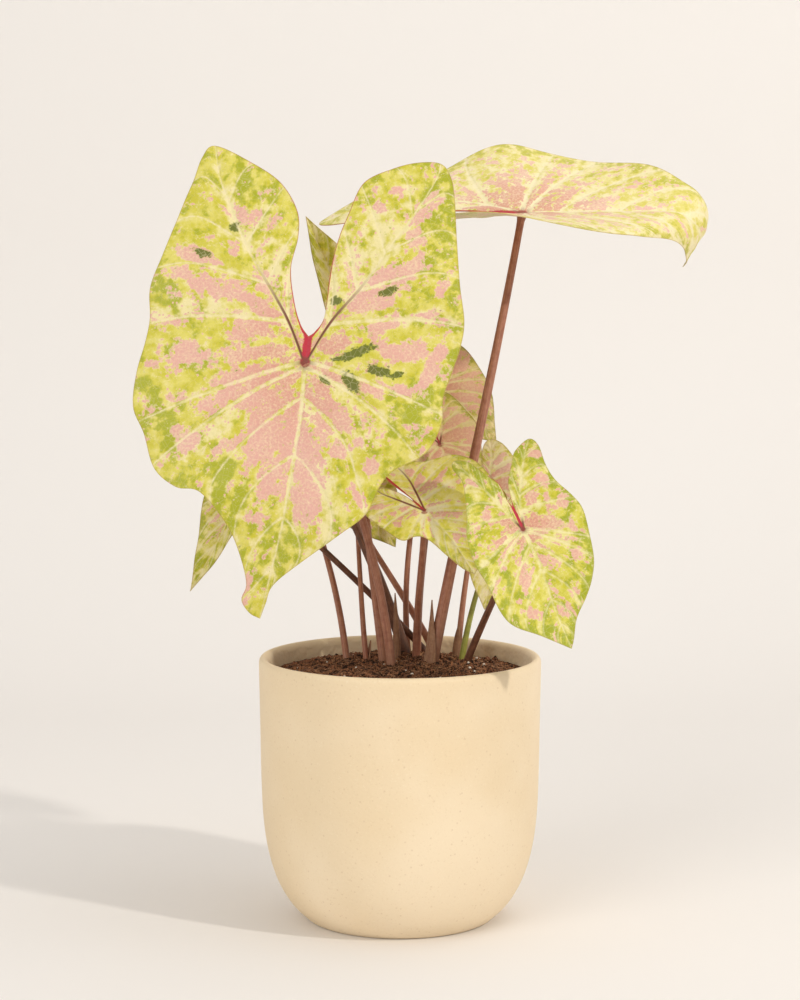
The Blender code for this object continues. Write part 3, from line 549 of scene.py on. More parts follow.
# The tuber: a flattened corky corm just under the soil, ringed by old leaf scars. Its shape stays
# as it is, and it only gets its skin here.
def corky_skin():
    finish, shader, wiring = new_finish("corky_skin", 0.9)
    place = wiring.own_place()
    bands = wiring.node("ShaderNodeTexWave", {"Vector": place, "Scale": 60.0, "Distortion": 3.0,
                                              "Detail": 2.0}, bands_direction="Z").outputs["Fac"]
    wiring.feed(shader.inputs["Base Color"], wiring.blend(bands, paint("4a2f1e"), paint("7d5a3d")))
    wiring.feed(shader.inputs["Normal"], wiring.relief(bands, 0.6 * MM, 0.8))
    return finish


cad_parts["tuber"].data.materials[0] = corky_skin()


# The leaves' outlines: each half blade is drawn flat, in millimetres from the stalk, as seen from
# its upper face. low: tip to side, high: side to lobe end, sinus: notch to lobe end, vein: stalk
# to lobe end. The four nearest leaves are drawn one by one, and the rest share one plain shape.
BIG_LEFT = {
    "low": [(-22, -121), (-27, -118), (-30.5, -111.5), (-28, -104), (-31, -90), (-37, -76),
            (-49, -61), (-60.5, -58.5), (-71, -49.5), (-76, -33), (-81, -20.5)],
    "high": [(-81, -20.5), (-79.5, -4), (-76, 10.3), (-74, 22.5), (-74, 37), (-68, 52.5), (-63, 66),
             (-58, 80), (-54, 90), (-50, 101.5), (-44, 107)],
    "sinus": [(1.6, 12.4), (-2.1, 18), (-5.2, 29), (-6.9, 45.5), (-3.6, 61), (-4.3, 74), (-12.4, 88),
              (-27, 98.5), (-44, 107)],
    "vein": [(0, 0), (-7.2, 18.5), (-14.4, 32), (-24, 48.5), (-31.5, 64), (-41, 89.5), (-44, 107)],
}
BIG_RIGHT = {
    "low": [(-22, -121), (-19.1, -113.5), (-15.5, -105), (-3.1, -95), (16, -81.5), (28.5, -72),
            (35.5, -58.5), (42, -51.5), (56.5, -44), (64, -31), (65, -18)],
    "high": [(65, -18), (68.5, -7), (73, 6.2), (75, 18.5), (73, 36), (71.5, 59.5), (70.5, 80.5),
             (68.5, 90.5), (64, 96.5)],
    "sinus": [(1.6, 12.4), (4.6, 14.4), (9.3, 22), (11.8, 42.5), (15.5, 59), (20.5, 72), (27.5, 87),
              (41.5, 94), (53.5, 97), (64, 96.5)],
    "vein": [(0, 0), (11.8, 18.5), (27, 36), (39, 53.5), (51.5, 71), (62, 88.5), (64, 96.5)],
}
BIG_MIDRIB = [(-22, -121), (-18, -105), (-11.8, -81), (-7.2, -57), (-2.4, -28), (0, 0)]

FRONT_LEFT = {
    "low": [(0.4, -62), (-12, -51.5), (-22, -43.5), (-26, -35), (-27.5, -21), (-29, -10)],
    "high": [(-29, -10), (-27.5, 4), (-24, 13), (-18.5, 31), (-20, 40), (-18, 44)],
    "sinus": [(-0.4, 12.5), (-1.6, 17), (-1.6, 25), (-4.5, 30), (-8, 36), (-12, 42), (-18, 44)],
    "vein": [(0, 0), (-5.5, 13), (-9.5, 24), (-14, 35), (-18, 44)],
}
FRONT_RIGHT = {
    "low": [(0.4, -62), (3, -58), (7.7, -49.5), (15.5, -41.5), (21, -34.5), (26, -25), (29, -11.5)],
    "high": [(29, -11.5), (30, -1), (28, 7), (24, 18), (22.8, 27), (23.5, 37.5), (20.6, 42.5)],
    "sinus": [(-0.4, 12.5), (0.3, 15), (1.8, 23), (4.3, 28), (8, 33.5), (12, 39), (20.6, 42.5)],
    "vein": [(0, 0), (4, 14), (10, 26), (16, 36), (20.6, 42.5)],
}
FRONT_MIDRIB = [(0.4, -62), (-0.5, -42), (0.5, -20), (0, 0)]

MIDDLE_LEFT = {
    "low": [(-2, -42), (-5, -36), (-6.5, -27), (-7.5, -18.5), (-9.5, -12.5), (-13, -9.5), (-18.5, -7.4)],
    "high": [(-18.5, -7.4), (-21.2, 1), (-24.3, 12.9), (-21.5, 19), (-16, 22.5), (-11.3, 23.8)],
    "sinus": [(-0.6, 5), (-1.7, 10), (-3.8, 16), (-7, 21.5), (-11.3, 23.8)],
    "vein": [(0, 0), (-4, 7.5), (-8, 15), (-10.5, 20), (-11.3, 23.8)],
}
MIDDLE_RIGHT = {
    "low": [(-2, -42), (7, -38), (19, -33), (29, -27), (35, -20)],
    "high": [(35, -20), (35.8, -13.8), (35.6, -4.7), (35, 5.4), (30.2, 14.9), (22.3, 19), (15.3, 22.1),
             (10.3, 27.4), (3, 31)],
    "sinus": [(-0.6, 5), (-1, 10), (-2.6, 18), (-3.6, 25), (-1.5, 30), (3, 31)],
    "vein": [(0, 0), (2.5, 9), (4.5, 18), (4.6, 26), (3, 31)],
}
MIDDLE_MIDRIB = [(-2, -42), (0.5, -20), (0, 0)]

TOP_FAR = {
    "low": [(0, -136), (3.5, -124), (9, -110), (21, -86), (42, -60), (59, -31), (65, -8)],
    "high": [(65, -8), (69, 14), (62, 38), (49, 60), (38, 80), (30, 96), (22, 104)],
    "sinus": [(0, 13), (4, 26), (7, 44), (9, 62), (11, 82), (15, 97), (22, 104)],
    "vein": [(0, 0), (12, 22), (20, 48), (24, 74), (24, 92), (22, 104)],
}
TOP_NEAR = {
    "low": [(0, -136), (-3.5, -124), (-9, -110), (-21, -86), (-42, -60), (-56, -31), (-62, -8)],
    "high": [(-62, -8), (-64, 14), (-60, 36), (-51, 55), (-40, 70), (-28, 80), (-18, 84)],
    "sinus": [(0, 13), (-4, 26), (-6, 42), (-7, 58), (-9, 74), (-12, 81), (-18, 84)],
    "vein": [(0, 0), (-11, 20), (-18, 42), (-21, 62), (-20, 76), (-18, 84)],
}
TOP_MIDRIB = [(0, -136), (0, -54), (0, 0)]

PLAIN_HALF = {
    "low": [(0, -1), (0.10, -0.87), (0.27, -0.66), (0.42, -0.42), (0.51, -0.16)],
    "high": [(0.51, -0.16), (0.54, 0.10), (0.50, 0.36), (0.42, 0.58), (0.33, 0.70), (0.25, 0.74)],
    "sinus": [(0, 0.12), (0.035, 0.25), (0.06, 0.42), (0.10, 0.58), (0.17, 0.70), (0.25, 0.74)],
    "vein": [(0, 0), (0.11, 0.20), (0.19, 0.42), (0.24, 0.62), (0.25, 0.74)],
}
PLAIN_MIDRIB = [(0, -1), (0, -0.5), (0, 0)]

# Side veins of a half blade: share of the way from tip to lobe end where each leaves the rib, the
# same where it meets the margin, and its width in millimetres. The lobe's inner side has its own.
SIDE_VEINS = [(0.10, 0.05, 0.25), (0.20, 0.105, 0.35), (0.32, 0.17, 0.35), (0.43, 0.25, 0.5),
              (0.492, 0.385, 0.75), (0.50, 0.47, 0.9), (0.59, 0.65, 0.85), (0.68, 0.75, 0.55),
              (0.78, 0.84, 0.4), (0.89, 0.92, 0.25)]
LOBE_VEINS = [(0.18, 0.30, 0.4), (0.36, 0.48, 0.35), (0.55, 0.66, 0.3), (0.74, 0.82, 0.25)]
LAST_VEIN_WIDTH = 0.3
VEIN_SWEEP = 1.25
VEIN_ARCH = 0.045
ARCHED_FROM = 0.49
VEIN_TAPER = 0.8
# Grids and bends: steps in millimetres, and how a droop gathers towards the end of the blade
GRID_STEP = 1.5
LOBE_GRID_STEP = 5
RIB_STEPS = 24
BEND_SAMPLES = 8
DROOP_POWER = 1.4
# The red notch and brown heart are sized from the biggest leaf's, in millimetres
BIGGEST_TIP_LENGTH = 121
SMALLEST_HEART = 0.4
RED_RADIUS = 3.0
NOTCH_STRIP_WIDTH = 2.7
EDGE_STRIP_WIDTH = 2.9
EDGE_STRIP_SHARE = 0.45


def mirrored(side):
    """The same half leaf for the other side of the midrib."""
    return {part: [(-u, v) for u, v in line] for part, line in side.items()}


def plain_leaf(size, width=1.0, **bends):
    """An ordinary leaf of this stalk-to-tip length, in millimetres."""
    side = {part: [(u * size * width, v * size) for u, v in line] for part, line in PLAIN_HALF.items()}
    midrib = [(u * size, v * size) for u, v in PLAIN_MIDRIB]
    return dict(left=mirrored(side), right=side, midrib=midrib, **bends)


def roll_over(u, v, rise, fold_u, fold_v, heading, radius, angle):
    """Roll the part of the blade that lies beyond a line; the line passes through one point and
    the blade beyond it, in the heading's direction, bends by the angle, up if it's above zero."""
    away_u = math.cos(math.radians(heading))
    away_v = math.sin(math.radians(heading))
    beyond = np.maximum((u - fold_u) * away_u + (v - fold_v) * away_v, 0.0)
    full = math.radians(abs(angle))
    way = 1 if angle > 0 else -1
    turned_by = np.minimum(beyond / radius, full)
    rest = np.maximum(0.0, beyond - radius * full)
    forward = radius * np.sin(turned_by) + rest * np.cos(turned_by) - way * rise * np.sin(turned_by)
    lifted = way * (radius * (1 - np.cos(turned_by)) + rest * np.sin(turned_by)) + rise * np.cos(turned_by)
    moved = beyond > 0
    return (np.where(moved, u + away_u * (forward - beyond), u),
            np.where(moved, v + away_v * (forward - beyond), v),
            np.where(moved, lifted, rise))


def spanned(inside, outside, across):
    """Flat places from one line to another of as many points, and how far apart the lines are."""
    u = inside[:, :1] * (1 - across) + outside[:, :1] * across
    v = inside[:, 1:] * (1 - across) + outside[:, 1:] * across
    return u, v, np.hypot(outside[:, :1] - inside[:, :1], outside[:, 1:] - inside[:, 1:])


def vein_spacing(order, u, v):
    """How many millimetres lie between side veins at each point of a grid."""
    across, down = np.gradient(order)
    u_across, u_down = np.gradient(u)
    v_across, v_down = np.gradient(v)
    area = u_across * v_down - u_down * v_across
    area = np.where(np.abs(area) < 1e-5, 1e-5, area)
    slope = np.hypot((across * v_down - down * v_across) / area, (down * u_across - across * u_down) / area)
    return np.clip(1 / np.maximum(slope, 1e-3), 0.5, 60.0)


class Blade:
    """A leaf blade: its flat shape and veins, and how it's bent and stands in space."""

    def __init__(self, at, tip_to, faces, left, right, midrib, fine=1.0, tip_droop=30, lobe_droop=15, fold=8,
                 curl=0, rolls=(), twist=0, ripples=((3, 0.0, 1.0), (3, 0.37, 1.0)), quilt=0.5):
        self.at = np.array(at) * MM
        along = -Vector(tip_to).normalized()
        facing = Vector(faces)
        facing = (facing - along * facing.dot(along)).normalized()
        self.along = np.array(along)
        self.facing = np.array(facing)
        self.across = np.array(along.cross(facing))
        self.sides = (left, right)
        self.midrib = midrib
        self.tip_droop = math.radians(tip_droop)
        self.lobe_droop = math.radians(lobe_droop)
        self.fold = math.radians(fold)
        self.curl = math.radians(curl)
        self.rolls = rolls
        self.twist = math.radians(twist)
        self.ripples = ripples
        self.quilt = quilt
        self.tip_length = -midrib[0][1]
        self.heart = max(SMALLEST_HEART, self.tip_length / BIGGEST_TIP_LENGTH)
        self.lobe_length = max(left["vein"][-1][1], right["vein"][-1][1])
        self.half_width = max(abs(u) for side in self.sides for u, v in side["high"])
        self.rib = even_steps(smooth_line(midrib), RIB_STEPS)
        self.steps = int(fine * self.tip_length / GRID_STEP)
        self.outer = int(fine * self.half_width / GRID_STEP)
        self.inner = max(6, int(fine * self.half_width / LOBE_GRID_STEP))

    def place(self, u, v, rise):
        """Where points of the flat blade, in millimetres, end up in space, in metres."""
        for roll in self.rolls:
            u, v, rise = roll_over(u, v, rise, *roll)
        offset = np.where(v < 0, np.interp(v, self.rib[:, 1], self.rib[:, 0]), 0.0)
        side = np.where(u >= offset, 1.0, -1.0)
        reach = np.abs(u - offset)
        spots = (np.arange(BEND_SAMPLES) + 0.5) / BEND_SAMPLES
        lift = self.fold + self.curl * reach[..., None] * spots / self.half_width
        out = np.cos(lift).mean(-1) * reach
        height = np.sin(lift).mean(-1) * reach + rise
        droop = np.where(v < 0, self.tip_droop, self.lobe_droop)
        length = np.where(v < 0, self.tip_length, self.lobe_length)
        far = np.abs(v)
        lean = droop[..., None] * (far[..., None] * spots / length[..., None]) ** DROOP_POWER
        ahead = np.cos(lean).mean(-1) * far
        back = np.sin(lean).mean(-1) * far
        lean = droop * (far / length) ** DROOP_POWER
        turn = self.twist * v / self.tip_length
        x = offset + side * out
        x, height = x * np.cos(turn) - height * np.sin(turn), x * np.sin(turn) + height * np.cos(turn)
        y = np.where(v < 0, -1.0, 1.0) * (ahead + height * np.sin(lean))
        z = height * np.cos(lean) - back
        moved = x[..., None] * self.across + y[..., None] * self.along + z[..., None] * self.facing
        return self.at + moved * MM

    def outline(self, side):
        """Margin and sinus lines of one half, smooth all the way from the tip to the notch."""
        whole = smooth_line(side["low"] + side["high"][1:] + side["sinus"][-2::-1])
        corner = SPAN_STEPS * (len(side["low"]) - 1)
        end = corner + SPAN_STEPS * (len(side["high"]) - 1)
        margin = np.vstack([even_steps(whole[:corner + 1], self.steps),
                            even_steps(whole[corner:end + 1], self.steps)[1:]])
        return margin, even_steps(whole[end:][::-1], self.steps)

    def half(self, number):
        """Two grids of one half blade: rib to margin, and lobe vein to sinus. Each is a dict of
        arrays over the grid: flat place, rise, and what the skin's pattern reads."""
        side = self.sides[number]
        way = (-1, 1)[number]
        margin, sinus = self.outline(side)
        vein = even_steps(smooth_line(side["vein"]), self.steps)
        spine = np.vstack([even_steps(smooth_line(self.midrib), self.steps), vein[1:]])
        count, phase, size = self.ripples[number]
        station = np.linspace(0, 1, 2 * self.steps + 1)[:, None]
        t = np.linspace(0, 1, self.outer + 1)[None, :]
        u, v, length = spanned(spine, margin, t)
        ends = np.minimum(1.0, np.minimum(4 * station, 4 * (1 - station)))
        wave = size * ends * t * t * np.sin(2 * math.pi * (count * station + phase))
        outer = self.fields(u, v, station + 0 * t, t + 0 * station, SIDE_VEINS, length, way)
        outer["rise"] = wave + outer["bulge"] * self.quilt
        outer["red"] = 1 - np.hypot(u, v) / (RED_RADIUS * self.heart)
        station = np.linspace(0, 1, self.steps + 1)[:, None]
        t = np.linspace(0, 1, self.inner + 1)[None, :]
        u, v, length = spanned(vein, sinus, t)
        inner = self.fields(u, v, station + 0 * t, t + 0 * station, LOBE_VEINS, length, -way)
        inner["rise"] = inner["bulge"] * self.quilt
        notch = side["sinus"][0]
        from_stem = np.abs(u - notch[0] * v / notch[1])
        fading = np.maximum(0.02, 1 - station / EDGE_STRIP_SHARE)
        along_edge = 1 - inner["edge"] / (EDGE_STRIP_WIDTH * self.heart ** 1.5 * fading)
        strip = np.maximum(1 - from_stem / (NOTCH_STRIP_WIDTH * self.heart ** 1.5), along_edge)
        inner["red"] = np.maximum(strip * (v > -1), 1 - np.hypot(u, v) / (RED_RADIUS * self.heart))
        return outer, inner

    def fields(self, u, v, station, t, veins, length, way):
        """What the pattern reads at each point of a grid, in millimetres where it's a distance."""
        starts = np.array([0.0] + [vein[0] for vein in veins] + [1.0])
        ends = np.array([0.0] + [vein[1] for vein in veins] + [1.0])
        widths = np.array([LAST_VEIN_WIDTH] + [vein[2] for vein in veins] + [LAST_VEIN_WIDTH])
        arched = np.clip(12 * (starts - ARCHED_FROM) * (1 - starts), 0, 1)
        order = np.empty_like(u)
        for column, out in enumerate(t[0]):
            crossed = starts + (ends - starts) * out ** VEIN_SWEEP + VEIN_ARCH * 4 * out * (1 - out) * arched
            order[:, column] = np.interp(station[:, 0], crossed, np.arange(len(starts)))
        gap = vein_spacing(order, u, v)
        scale = min(1.0, self.tip_length / 90 + 0.25)
        width = widths[np.rint(order).astype(int)] * (1 - VEIN_TAPER * t) * scale
        between = 1 - np.abs(2 * (order % 1) - 1)
        rib = t * length
        edge = (1 - t) * length
        middle = np.hypot(u, v)
        bulge = between ** 0.8 * np.minimum(1, rib / 5) * np.minimum(1, edge / 7) * np.minimum(1, gap / 8)
        main = np.clip(0.85 * (1 - middle / (self.tip_length * 1.15)), 0.2, 0.85) * scale
        return {"u": u, "v": v, "order": order, "gap": gap, "width": width, "between": between,
                "rib": rib * way, "edge": edge, "middle": middle, "main": main, "bulge": bulge}


def splash(fields, marks):
    """How deep inside the listed marks each point lies: 1 at a mark's middle, 0 at its edge. A mark
    is its middle, length and width in millimetres, and its heading in degrees."""
    deepest = np.full_like(fields["u"], -1.0)
    for u, v, length, width, heading in marks:
        turn = math.radians(heading)
        du = fields["u"] - u
        dv = fields["v"] - v
        along = (du * math.cos(turn) + dv * math.sin(turn)) / (length / 2)
        aside = (dv * math.cos(turn) - du * math.sin(turn)) / (width / 2)
        deepest = np.maximum(deepest, 1 - np.hypot(along, aside))
    return deepest


# The marbling: between thin cream veins the blade is lime and yellow, with ragged rose patches that
# spread from the middle, a few dark green flecks, a red notch and a thin brown margin. One shader
# group paints it for every leaf, and each finish gives it its own colours.
SKIN_COLOURS = ("Lime", "Yellow", "Leaf green", "Dark green", "Rose", "Deep rose", "Cream", "Red", "Brown",
                "Margin")


class Marbling(Wiring):
    """Wires the marbling, layer on layer, from what each blade keeps on its corners."""

    def __init__(self, tree, given):
        super().__init__(tree)
        self.given = given
        self.flat = self.read("flat")
        self.ahead = self.parts(self.flat)["Y"]
        order, gap, width = self.parts(self.read("veins"))
        rib, main, self.middle = self.parts(self.read("ribs"))
        self.edge, self.red, self.blush = self.parts(self.read("zones"))
        self.flow = self.read("flow")
        self.dark = self.parts(self.flow)["Z"]
        self.brown_reach, self.pale, self.green = self.parts(self.read("stains"))

        # Cloudiness from broad to fine, and cells as large as the finest net of veins
        self.broad = self.clouds(self.flat, 0.07)
        self.soft = self.clouds(self.flat, 0.15)
        self.mid = self.clouds(self.flat, 0.27, 3.0, 0.62)
        self.fine = self.clouds(self.flat, 0.85, 3.0, 0.65)
        self.stepped = self.channel(self.cells(self.flat, 0.62, output="Color"), 0)

        # Distance to the nearest side vein, in millimetres, and to the midrib or lobe vein
        away = self.maths("ABSOLUTE", self.maths("SUBTRACT", order, self.maths("ROUND", order)))
        side_line = self.maths("SUBTRACT", self.maths("MULTIPLY", away, gap), width)
        self.rib_line = self.maths("SUBTRACT", self.maths("ABSOLUTE", rib), main)
        self.nearest = self.maths("MINIMUM", side_line, self.rib_line)
        self.wavering = self.total((self.nearest, 1.0, 0.0), (self.fine, 1.3, 0.5))
        self.vein_core = self.rise(self.wavering, 0.62, -0.30)

    def read(self, name):
        return self.node("ShaderNodeAttribute", attribute_name=name).outputs["Vector"]

    def over(self, share, colour, name):
        """One of the finish's own colours laid over another."""
        return self.blend(share, colour, self.given[name])

    def ground(self):
        """Lime and yellow, with leaf green, pale and freckled places."""
        yellow = self.total((self.soft, 0.7, 0.5), (self.mid, 0.3, 0.5), (self.broad, 0.4, 0.5))
        colour = self.over(self.rise(yellow, -0.09, 0.11), self.given["Lime"], "Yellow")
        drawn = self.clouds(self.vector("MULTIPLY", self.flow, (0.16, 0.10, 0.0)), 1.0, 3.0, 0.62)
        leafy = self.total((drawn, 0.9, 0.5), (self.soft, -0.9, 0.5), (self.mid, -0.30, 0.5),
                           (self.fine, -0.12, 0.5), (self.green, 0.20, 0.0),
                           (self.given["Green share"], 1.0, 0.0))
        colour = self.over(self.rise(leafy, -0.04, 0.15, 0.0, 0.9), colour, "Leaf green")
        halo = self.rise(self.total((self.nearest, 1.0, 0.0), (self.mid, 9.0, 0.5)), 3.6, 0.2)
        milky = self.total((self.soft, 0.8, 0.5), (self.mid, 0.45, 0.5), (self.fine, 0.15, 0.5),
                           (self.pale, 0.22, 0.0), (halo, 0.14, 0.0), (drawn, -0.5, 0.5))
        colour = self.over(self.rise(milky, 0.02, 0.26, 0.0, 0.72), colour, "Cream")
        freckle = self.maths("MULTIPLY", self.rise(self.cells(self.flat, 0.72), 0.34, 0.14),
                             self.rise(self.mid, 0.46, 0.62, 0.0, 0.30))
        return self.over(freckle, colour, "Cream")

    def rose(self, colour):
        """Rose patches with a pale rim, stretched along the side veins, ragged and stepped, with
        loose dots round them; gives the colour and how rosy it is."""
        patches = self.clouds(self.vector("MULTIPLY", self.flow, (0.17, 0.075, 0.0)), 1.0, 3.0, 0.62)
        dots = self.node("ShaderNodeTexVoronoi", {"Vector": self.flat, "Scale": 0.50}).outputs
        dotted = self.maths("MULTIPLY", self.rise(dots["Distance"], 0.40, 0.20),
                            self.rise(self.channel(dots["Color"], 1), 0.45, 0.75))
        sprinkled = self.maths("MULTIPLY", dotted, self.rise(self.pale, 0.0, 0.5))
        on_vein = self.rise(self.wavering, 0.9, 0.1)
        field = self.total((patches, 3.1, 0.5), (self.mid, 2.0, 0.5), (self.fine, 0.55, 0.5),
                           (self.stepped, 0.35, 0.5), (self.blush, 1.0, 0.0),
                           (self.given["Rose share"], 1.0, 0.0), (dotted, 0.36, 0.15),
                           (sprinkled, 0.55, 0.0), (on_vein, -0.6, 0.0))
        rosy = self.rise(field, -0.03, 0.05)
        rim = self.maths("SUBTRACT", self.rise(field, -0.22, -0.08), rosy, clamp=True)
        rose = self.over(self.rise(self.middle, 50.0, 4.0), self.given["Rose"], "Deep rose")
        faded = self.total((self.fine, 1.0, 0.5), (self.broad, 0.5, 0.5))
        rose = self.over(self.rise(faded, -0.05, 0.20, 0.0, 0.45), rose, "Cream")
        colour = self.over(self.maths("MULTIPLY", rim, 0.42), colour, "Cream")
        return self.blend(self.maths("MULTIPLY", rosy, 0.94), colour, rose), rosy

    def flecks(self, colour):
        """Dark green flecks, each in a haze of leaf green."""
        fleck = self.total((self.dark, 1.0, 0.0), (self.mid, 1.5, 0.5), (self.fine, 0.8, 0.5),
                           (self.stepped, 0.45, 0.5))
        colour = self.over(self.rise(fleck, -0.22, 0.0, 0.0, 0.6), colour, "Leaf green")
        return self.over(self.rise(fleck, -0.02, 0.14, 0.0, 0.92), colour, "Dark green")

    def veins(self, colour, net_line, rosy):
        """The fine net of veins, then the main veins, brown at the heart and along the lobes."""
        net = self.maths("MULTIPLY", net_line, self.rise(rosy, 0.0, 1.0, 0.14, 0.26))
        colour = self.over(net, colour, "Cream")
        shown = self.maths("MULTIPLY", self.given["Vein strength"],
                           self.rise(self.mid, 0.36, 0.60, 0.35, 0.8))
        colour = self.over(self.maths("MULTIPLY", self.vein_core, shown), colour, "Cream")
        rays = self.maths("MULTIPLY", self.vein_core, self.rise(self.middle, 7.0, 2.5, 0.0, 0.5))
        colour = self.over(rays, colour, "Brown")
        lobe_line = self.maths("MULTIPLY", self.rise(self.rib_line, 0.45, -0.25),
                               self.rise(self.ahead, -0.5, 0.8))
        browned = self.maths("MULTIPLY", lobe_line, self.rise(self.brown_reach, 0.0, 0.7))
        return self.over(browned, colour, "Brown")

    def notch_and_margin(self, colour):
        """The red notch, the brown heart over the stalk and the thin margin."""
        notch = self.rise(self.total((self.red, 1.0, 0.0), (self.fine, 0.5, 0.5)), 0.05, 0.40)
        colour = self.over(notch, colour, "Red")
        heart = self.rise(self.total((self.middle, 1.0, 0.0), (self.fine, 2.6, 0.5)), 3.4, 1.4, 0.0, 0.85)
        colour = self.over(heart, colour, "Brown")
        return self.over(self.rise(self.edge, 0.75, 0.15, 0.0, 0.5), colour, "Margin")


def marbled_skin():
    """Group: the marbling, with sunken veins and a soft grain, in a finish's own colours."""
    inputs = {**dict.fromkeys(SKIN_COLOURS, "Color"), "Rose share": "Float", "Green share": "Float",
              "Vein strength": "Float"}
    tree, given = new_group("marbled_skin", "ShaderNodeTree", inputs,
                            {"Color": "Color", "Height": "Float", "Roughness": "Float"})
    skin = Marbling(tree, given)
    net_line = skin.rise(skin.cells(skin.flat, 0.36, feature="DISTANCE_TO_EDGE"), 0.07, 0.01)
    colour, rosy = skin.rose(skin.ground())
    colour = skin.veins(skin.flecks(colour), net_line, rosy)
    colour = skin.notch_and_margin(colour)
    tint = skin.maths("MULTIPLY_ADD", skin.fine, 0.22, 0.89)
    shade = skin.node("ShaderNodeCombineXYZ", {"X": tint, "Y": tint, "Z": tint}).outputs[0]
    colour = skin.blend(1.0, colour, shade, mode="MULTIPLY")
    height = skin.maths("MULTIPLY_ADD", skin.rise(skin.nearest, 1.4, -0.4), -1.0, 1.0)
    height = skin.maths("MULTIPLY_ADD", net_line, -0.25, height)
    height = skin.maths("MULTIPLY_ADD", skin.fine, 0.25, height)
    rough = skin.rise(skin.fine, 0.3, 0.7, 0.42, 0.56)
    skin.node("NodeGroupOutput", {"Color": colour, "Height": height, "Roughness": rough})
    return tree


MARBLED_SKIN = marbled_skin()


def leaf_finish(name, colours, rose_share=0.0, green_share=0.0, vein_strength=1.0):
    """One leaf finish: the marbling in a set of colours, over a thin waxy skin."""
    finish, shader, wiring = new_finish(name, 0.48, Specular_IOR_Level=0.4)
    inputs = {socket: paint(code) for socket, code in zip(SKIN_COLOURS, colours.split())}
    inputs.update({"Rose share": rose_share, "Green share": green_share, "Vein strength": vein_strength})
    skin = wiring.node("ShaderNodeGroup", inputs, node_tree=MARBLED_SKIN)
    wiring.feed(shader.inputs["Base Color"], skin.outputs["Color"])
    wiring.feed(shader.inputs["Roughness"], skin.outputs["Roughness"])
    wiring.feed(shader.inputs["Normal"], wiring.relief(skin.outputs["Height"], 0.35 * MM, 0.6))
    return finish


# Colours in the order of SKIN_COLOURS
LIME_UPPER = "c6bd34 d8cd62 a1a51a 5c6412 dea69c d29284 eadcae b8283a 74402f a98a4e"
PALE_UPPER = "d9cd5c e9dc90 bdb93c 8f8c2c e9b8aa d8957f f3e6be b8383c 9a5c48 b3935a"
OLIVE_UPPER = "c8ba50 dac874 a8a434 6e721c e4ac98 d69680 e9d6a4 ac3440 7d4034 94743f"
FRESH_UPPER = "c2bb2c d4cb52 9ba31a 5c6412 e0a89a d28e7e ece0ae b8283a 74402f a99a4a"
# A brighter copy of the lime skin, painted light: it lights leaves that lie in shade as if the lamp reached
# them
PAINTED_LIGHT_UPPER = "e4da4c f2e688 c2c234 747e1e efb2a2 e29c8a f8ecc6 bc2c3c 7c4034 b08c50"
LIME_UNDER = "b9b45a cabf7c a3a544 7f8230 d9a792 cd9280 d8c68c a8443e 8e5a44 9c7a48"
OLIVE_UNDER = "a39c52 b8a96c 8f8c3c 6e702a cc9882 bd8270 cbb57e 984038 7c4c3a 8c6c40"
# The upper and lower skin of each finish: name, colours, then rose share, green share and vein strength
SKINS = {
    "leaf_lime": [("lime_upper", LIME_UPPER, 0.05, -0.05), ("lime_under", LIME_UNDER, -0.1, -0.05, 0.8)],
    "leaf_pale": [("pale_upper", PALE_UPPER, 0.0, -0.08), ("pale_under", LIME_UNDER, 0.1, -0.1, 0.8)],
    "leaf_olive": [("olive_upper", OLIVE_UPPER), ("olive_under", OLIVE_UNDER, 0.0, -0.05, 0.8)],
    "leaf_fresh": [("fresh_upper", FRESH_UPPER, 0.08, 0.0, 0.7), ("fresh_under", LIME_UNDER)],
    # The last finish is painted light: brighter skins for leaves in shade, its lower side in the pale upper
    # colours
    "leaf_painted_light": [("painted_light_upper", PAINTED_LIGHT_UPPER), ("painted_light_under", PALE_UPPER, 0.0, -0.05)],
}
FINISHES = {name: [leaf_finish(*skin) for skin in skins] for name, skins in SKINS.items()}


# The blades: thin, soft leaves on ribs that stand out below, each grown onto the tip of its stalk.
# LEAVES says where each one stands, how it bends, its stalk, its finish and its bark. Marks are
# listed for the nearest leaves, as middle, length, width and heading: rose and dark green
# ones, and places where the ground is pale or green. On the others rosy says how far rose spreads.
# milky and verdant turn the whole ground pale or green, brown is how many millimetres of the lobe
# veins are brown, and look names another skin than the finish's own: a fresher one, or a brighter
# one that is painted light, lighting leaves that lie in shade as if the lamp reached them.
FRONT_ROSE = [
    (-50, 51, 26, 8, -24), (-44, 38, 42, 10, -17), (-30, 71, 14, 6, -55), (-25, 70, 10, 7, 50),
    (-34, 55, 10, 5, -80), (-20, 40, 13, 8, -50), (-20, 25, 24, 8, -40), (-60, 21, 15, 6, 5),
    (-26, 14, 20, 15, 30), (-49, 22, 7, 3, 0), (-56, 6, 12, 9, -40), (-30, 4, 58, 8, 5), (-73, -1, 7, 5, 0),
    (-24, -12, 50, 20, 18), (-45, -20, 12, 8, 0), (-13, -30, 46, 22, 55), (-12, -46, 42, 20, 68),
    (-34, -39, 20, 7, 25), (-56, -35, 13, 11, -60), (3, -28, 44, 15, -80), (0, -52, 52, 15, -80),
    (0, -70, 16, 10, 80), (-24, -73, 8, 5, 0), (11, -20, 28, 11, -50), (16, -42, 10, 8, 0),
    (23, -40, 12, 4, 30), (31, -50, 8, 7, 0), (25, -63, 12, 5, -60), (14, 8, 18, 8, 20),
    (38, 17, 17, 7, 25), (61, 20, 14, 5, -15),
    (44, 5, 24, 11, -10), (60, -2, 24, 7, 60), (35, 34, 32, 15, 35), (50, 44, 24, 6, 50), (65, 36, 14, 6, 65),
    (52, 59, 11, 8, -60), (56, 73, 24, 9, 42), (42, 83, 8, 4, 10), (35, 74, 8, 5, 0), (10, -6, 20, 8, -20),
    (28, -13, 20, 7, -25), (43, -14, 16, 6, -10), (-30, -109, 20, 7, 75),
]
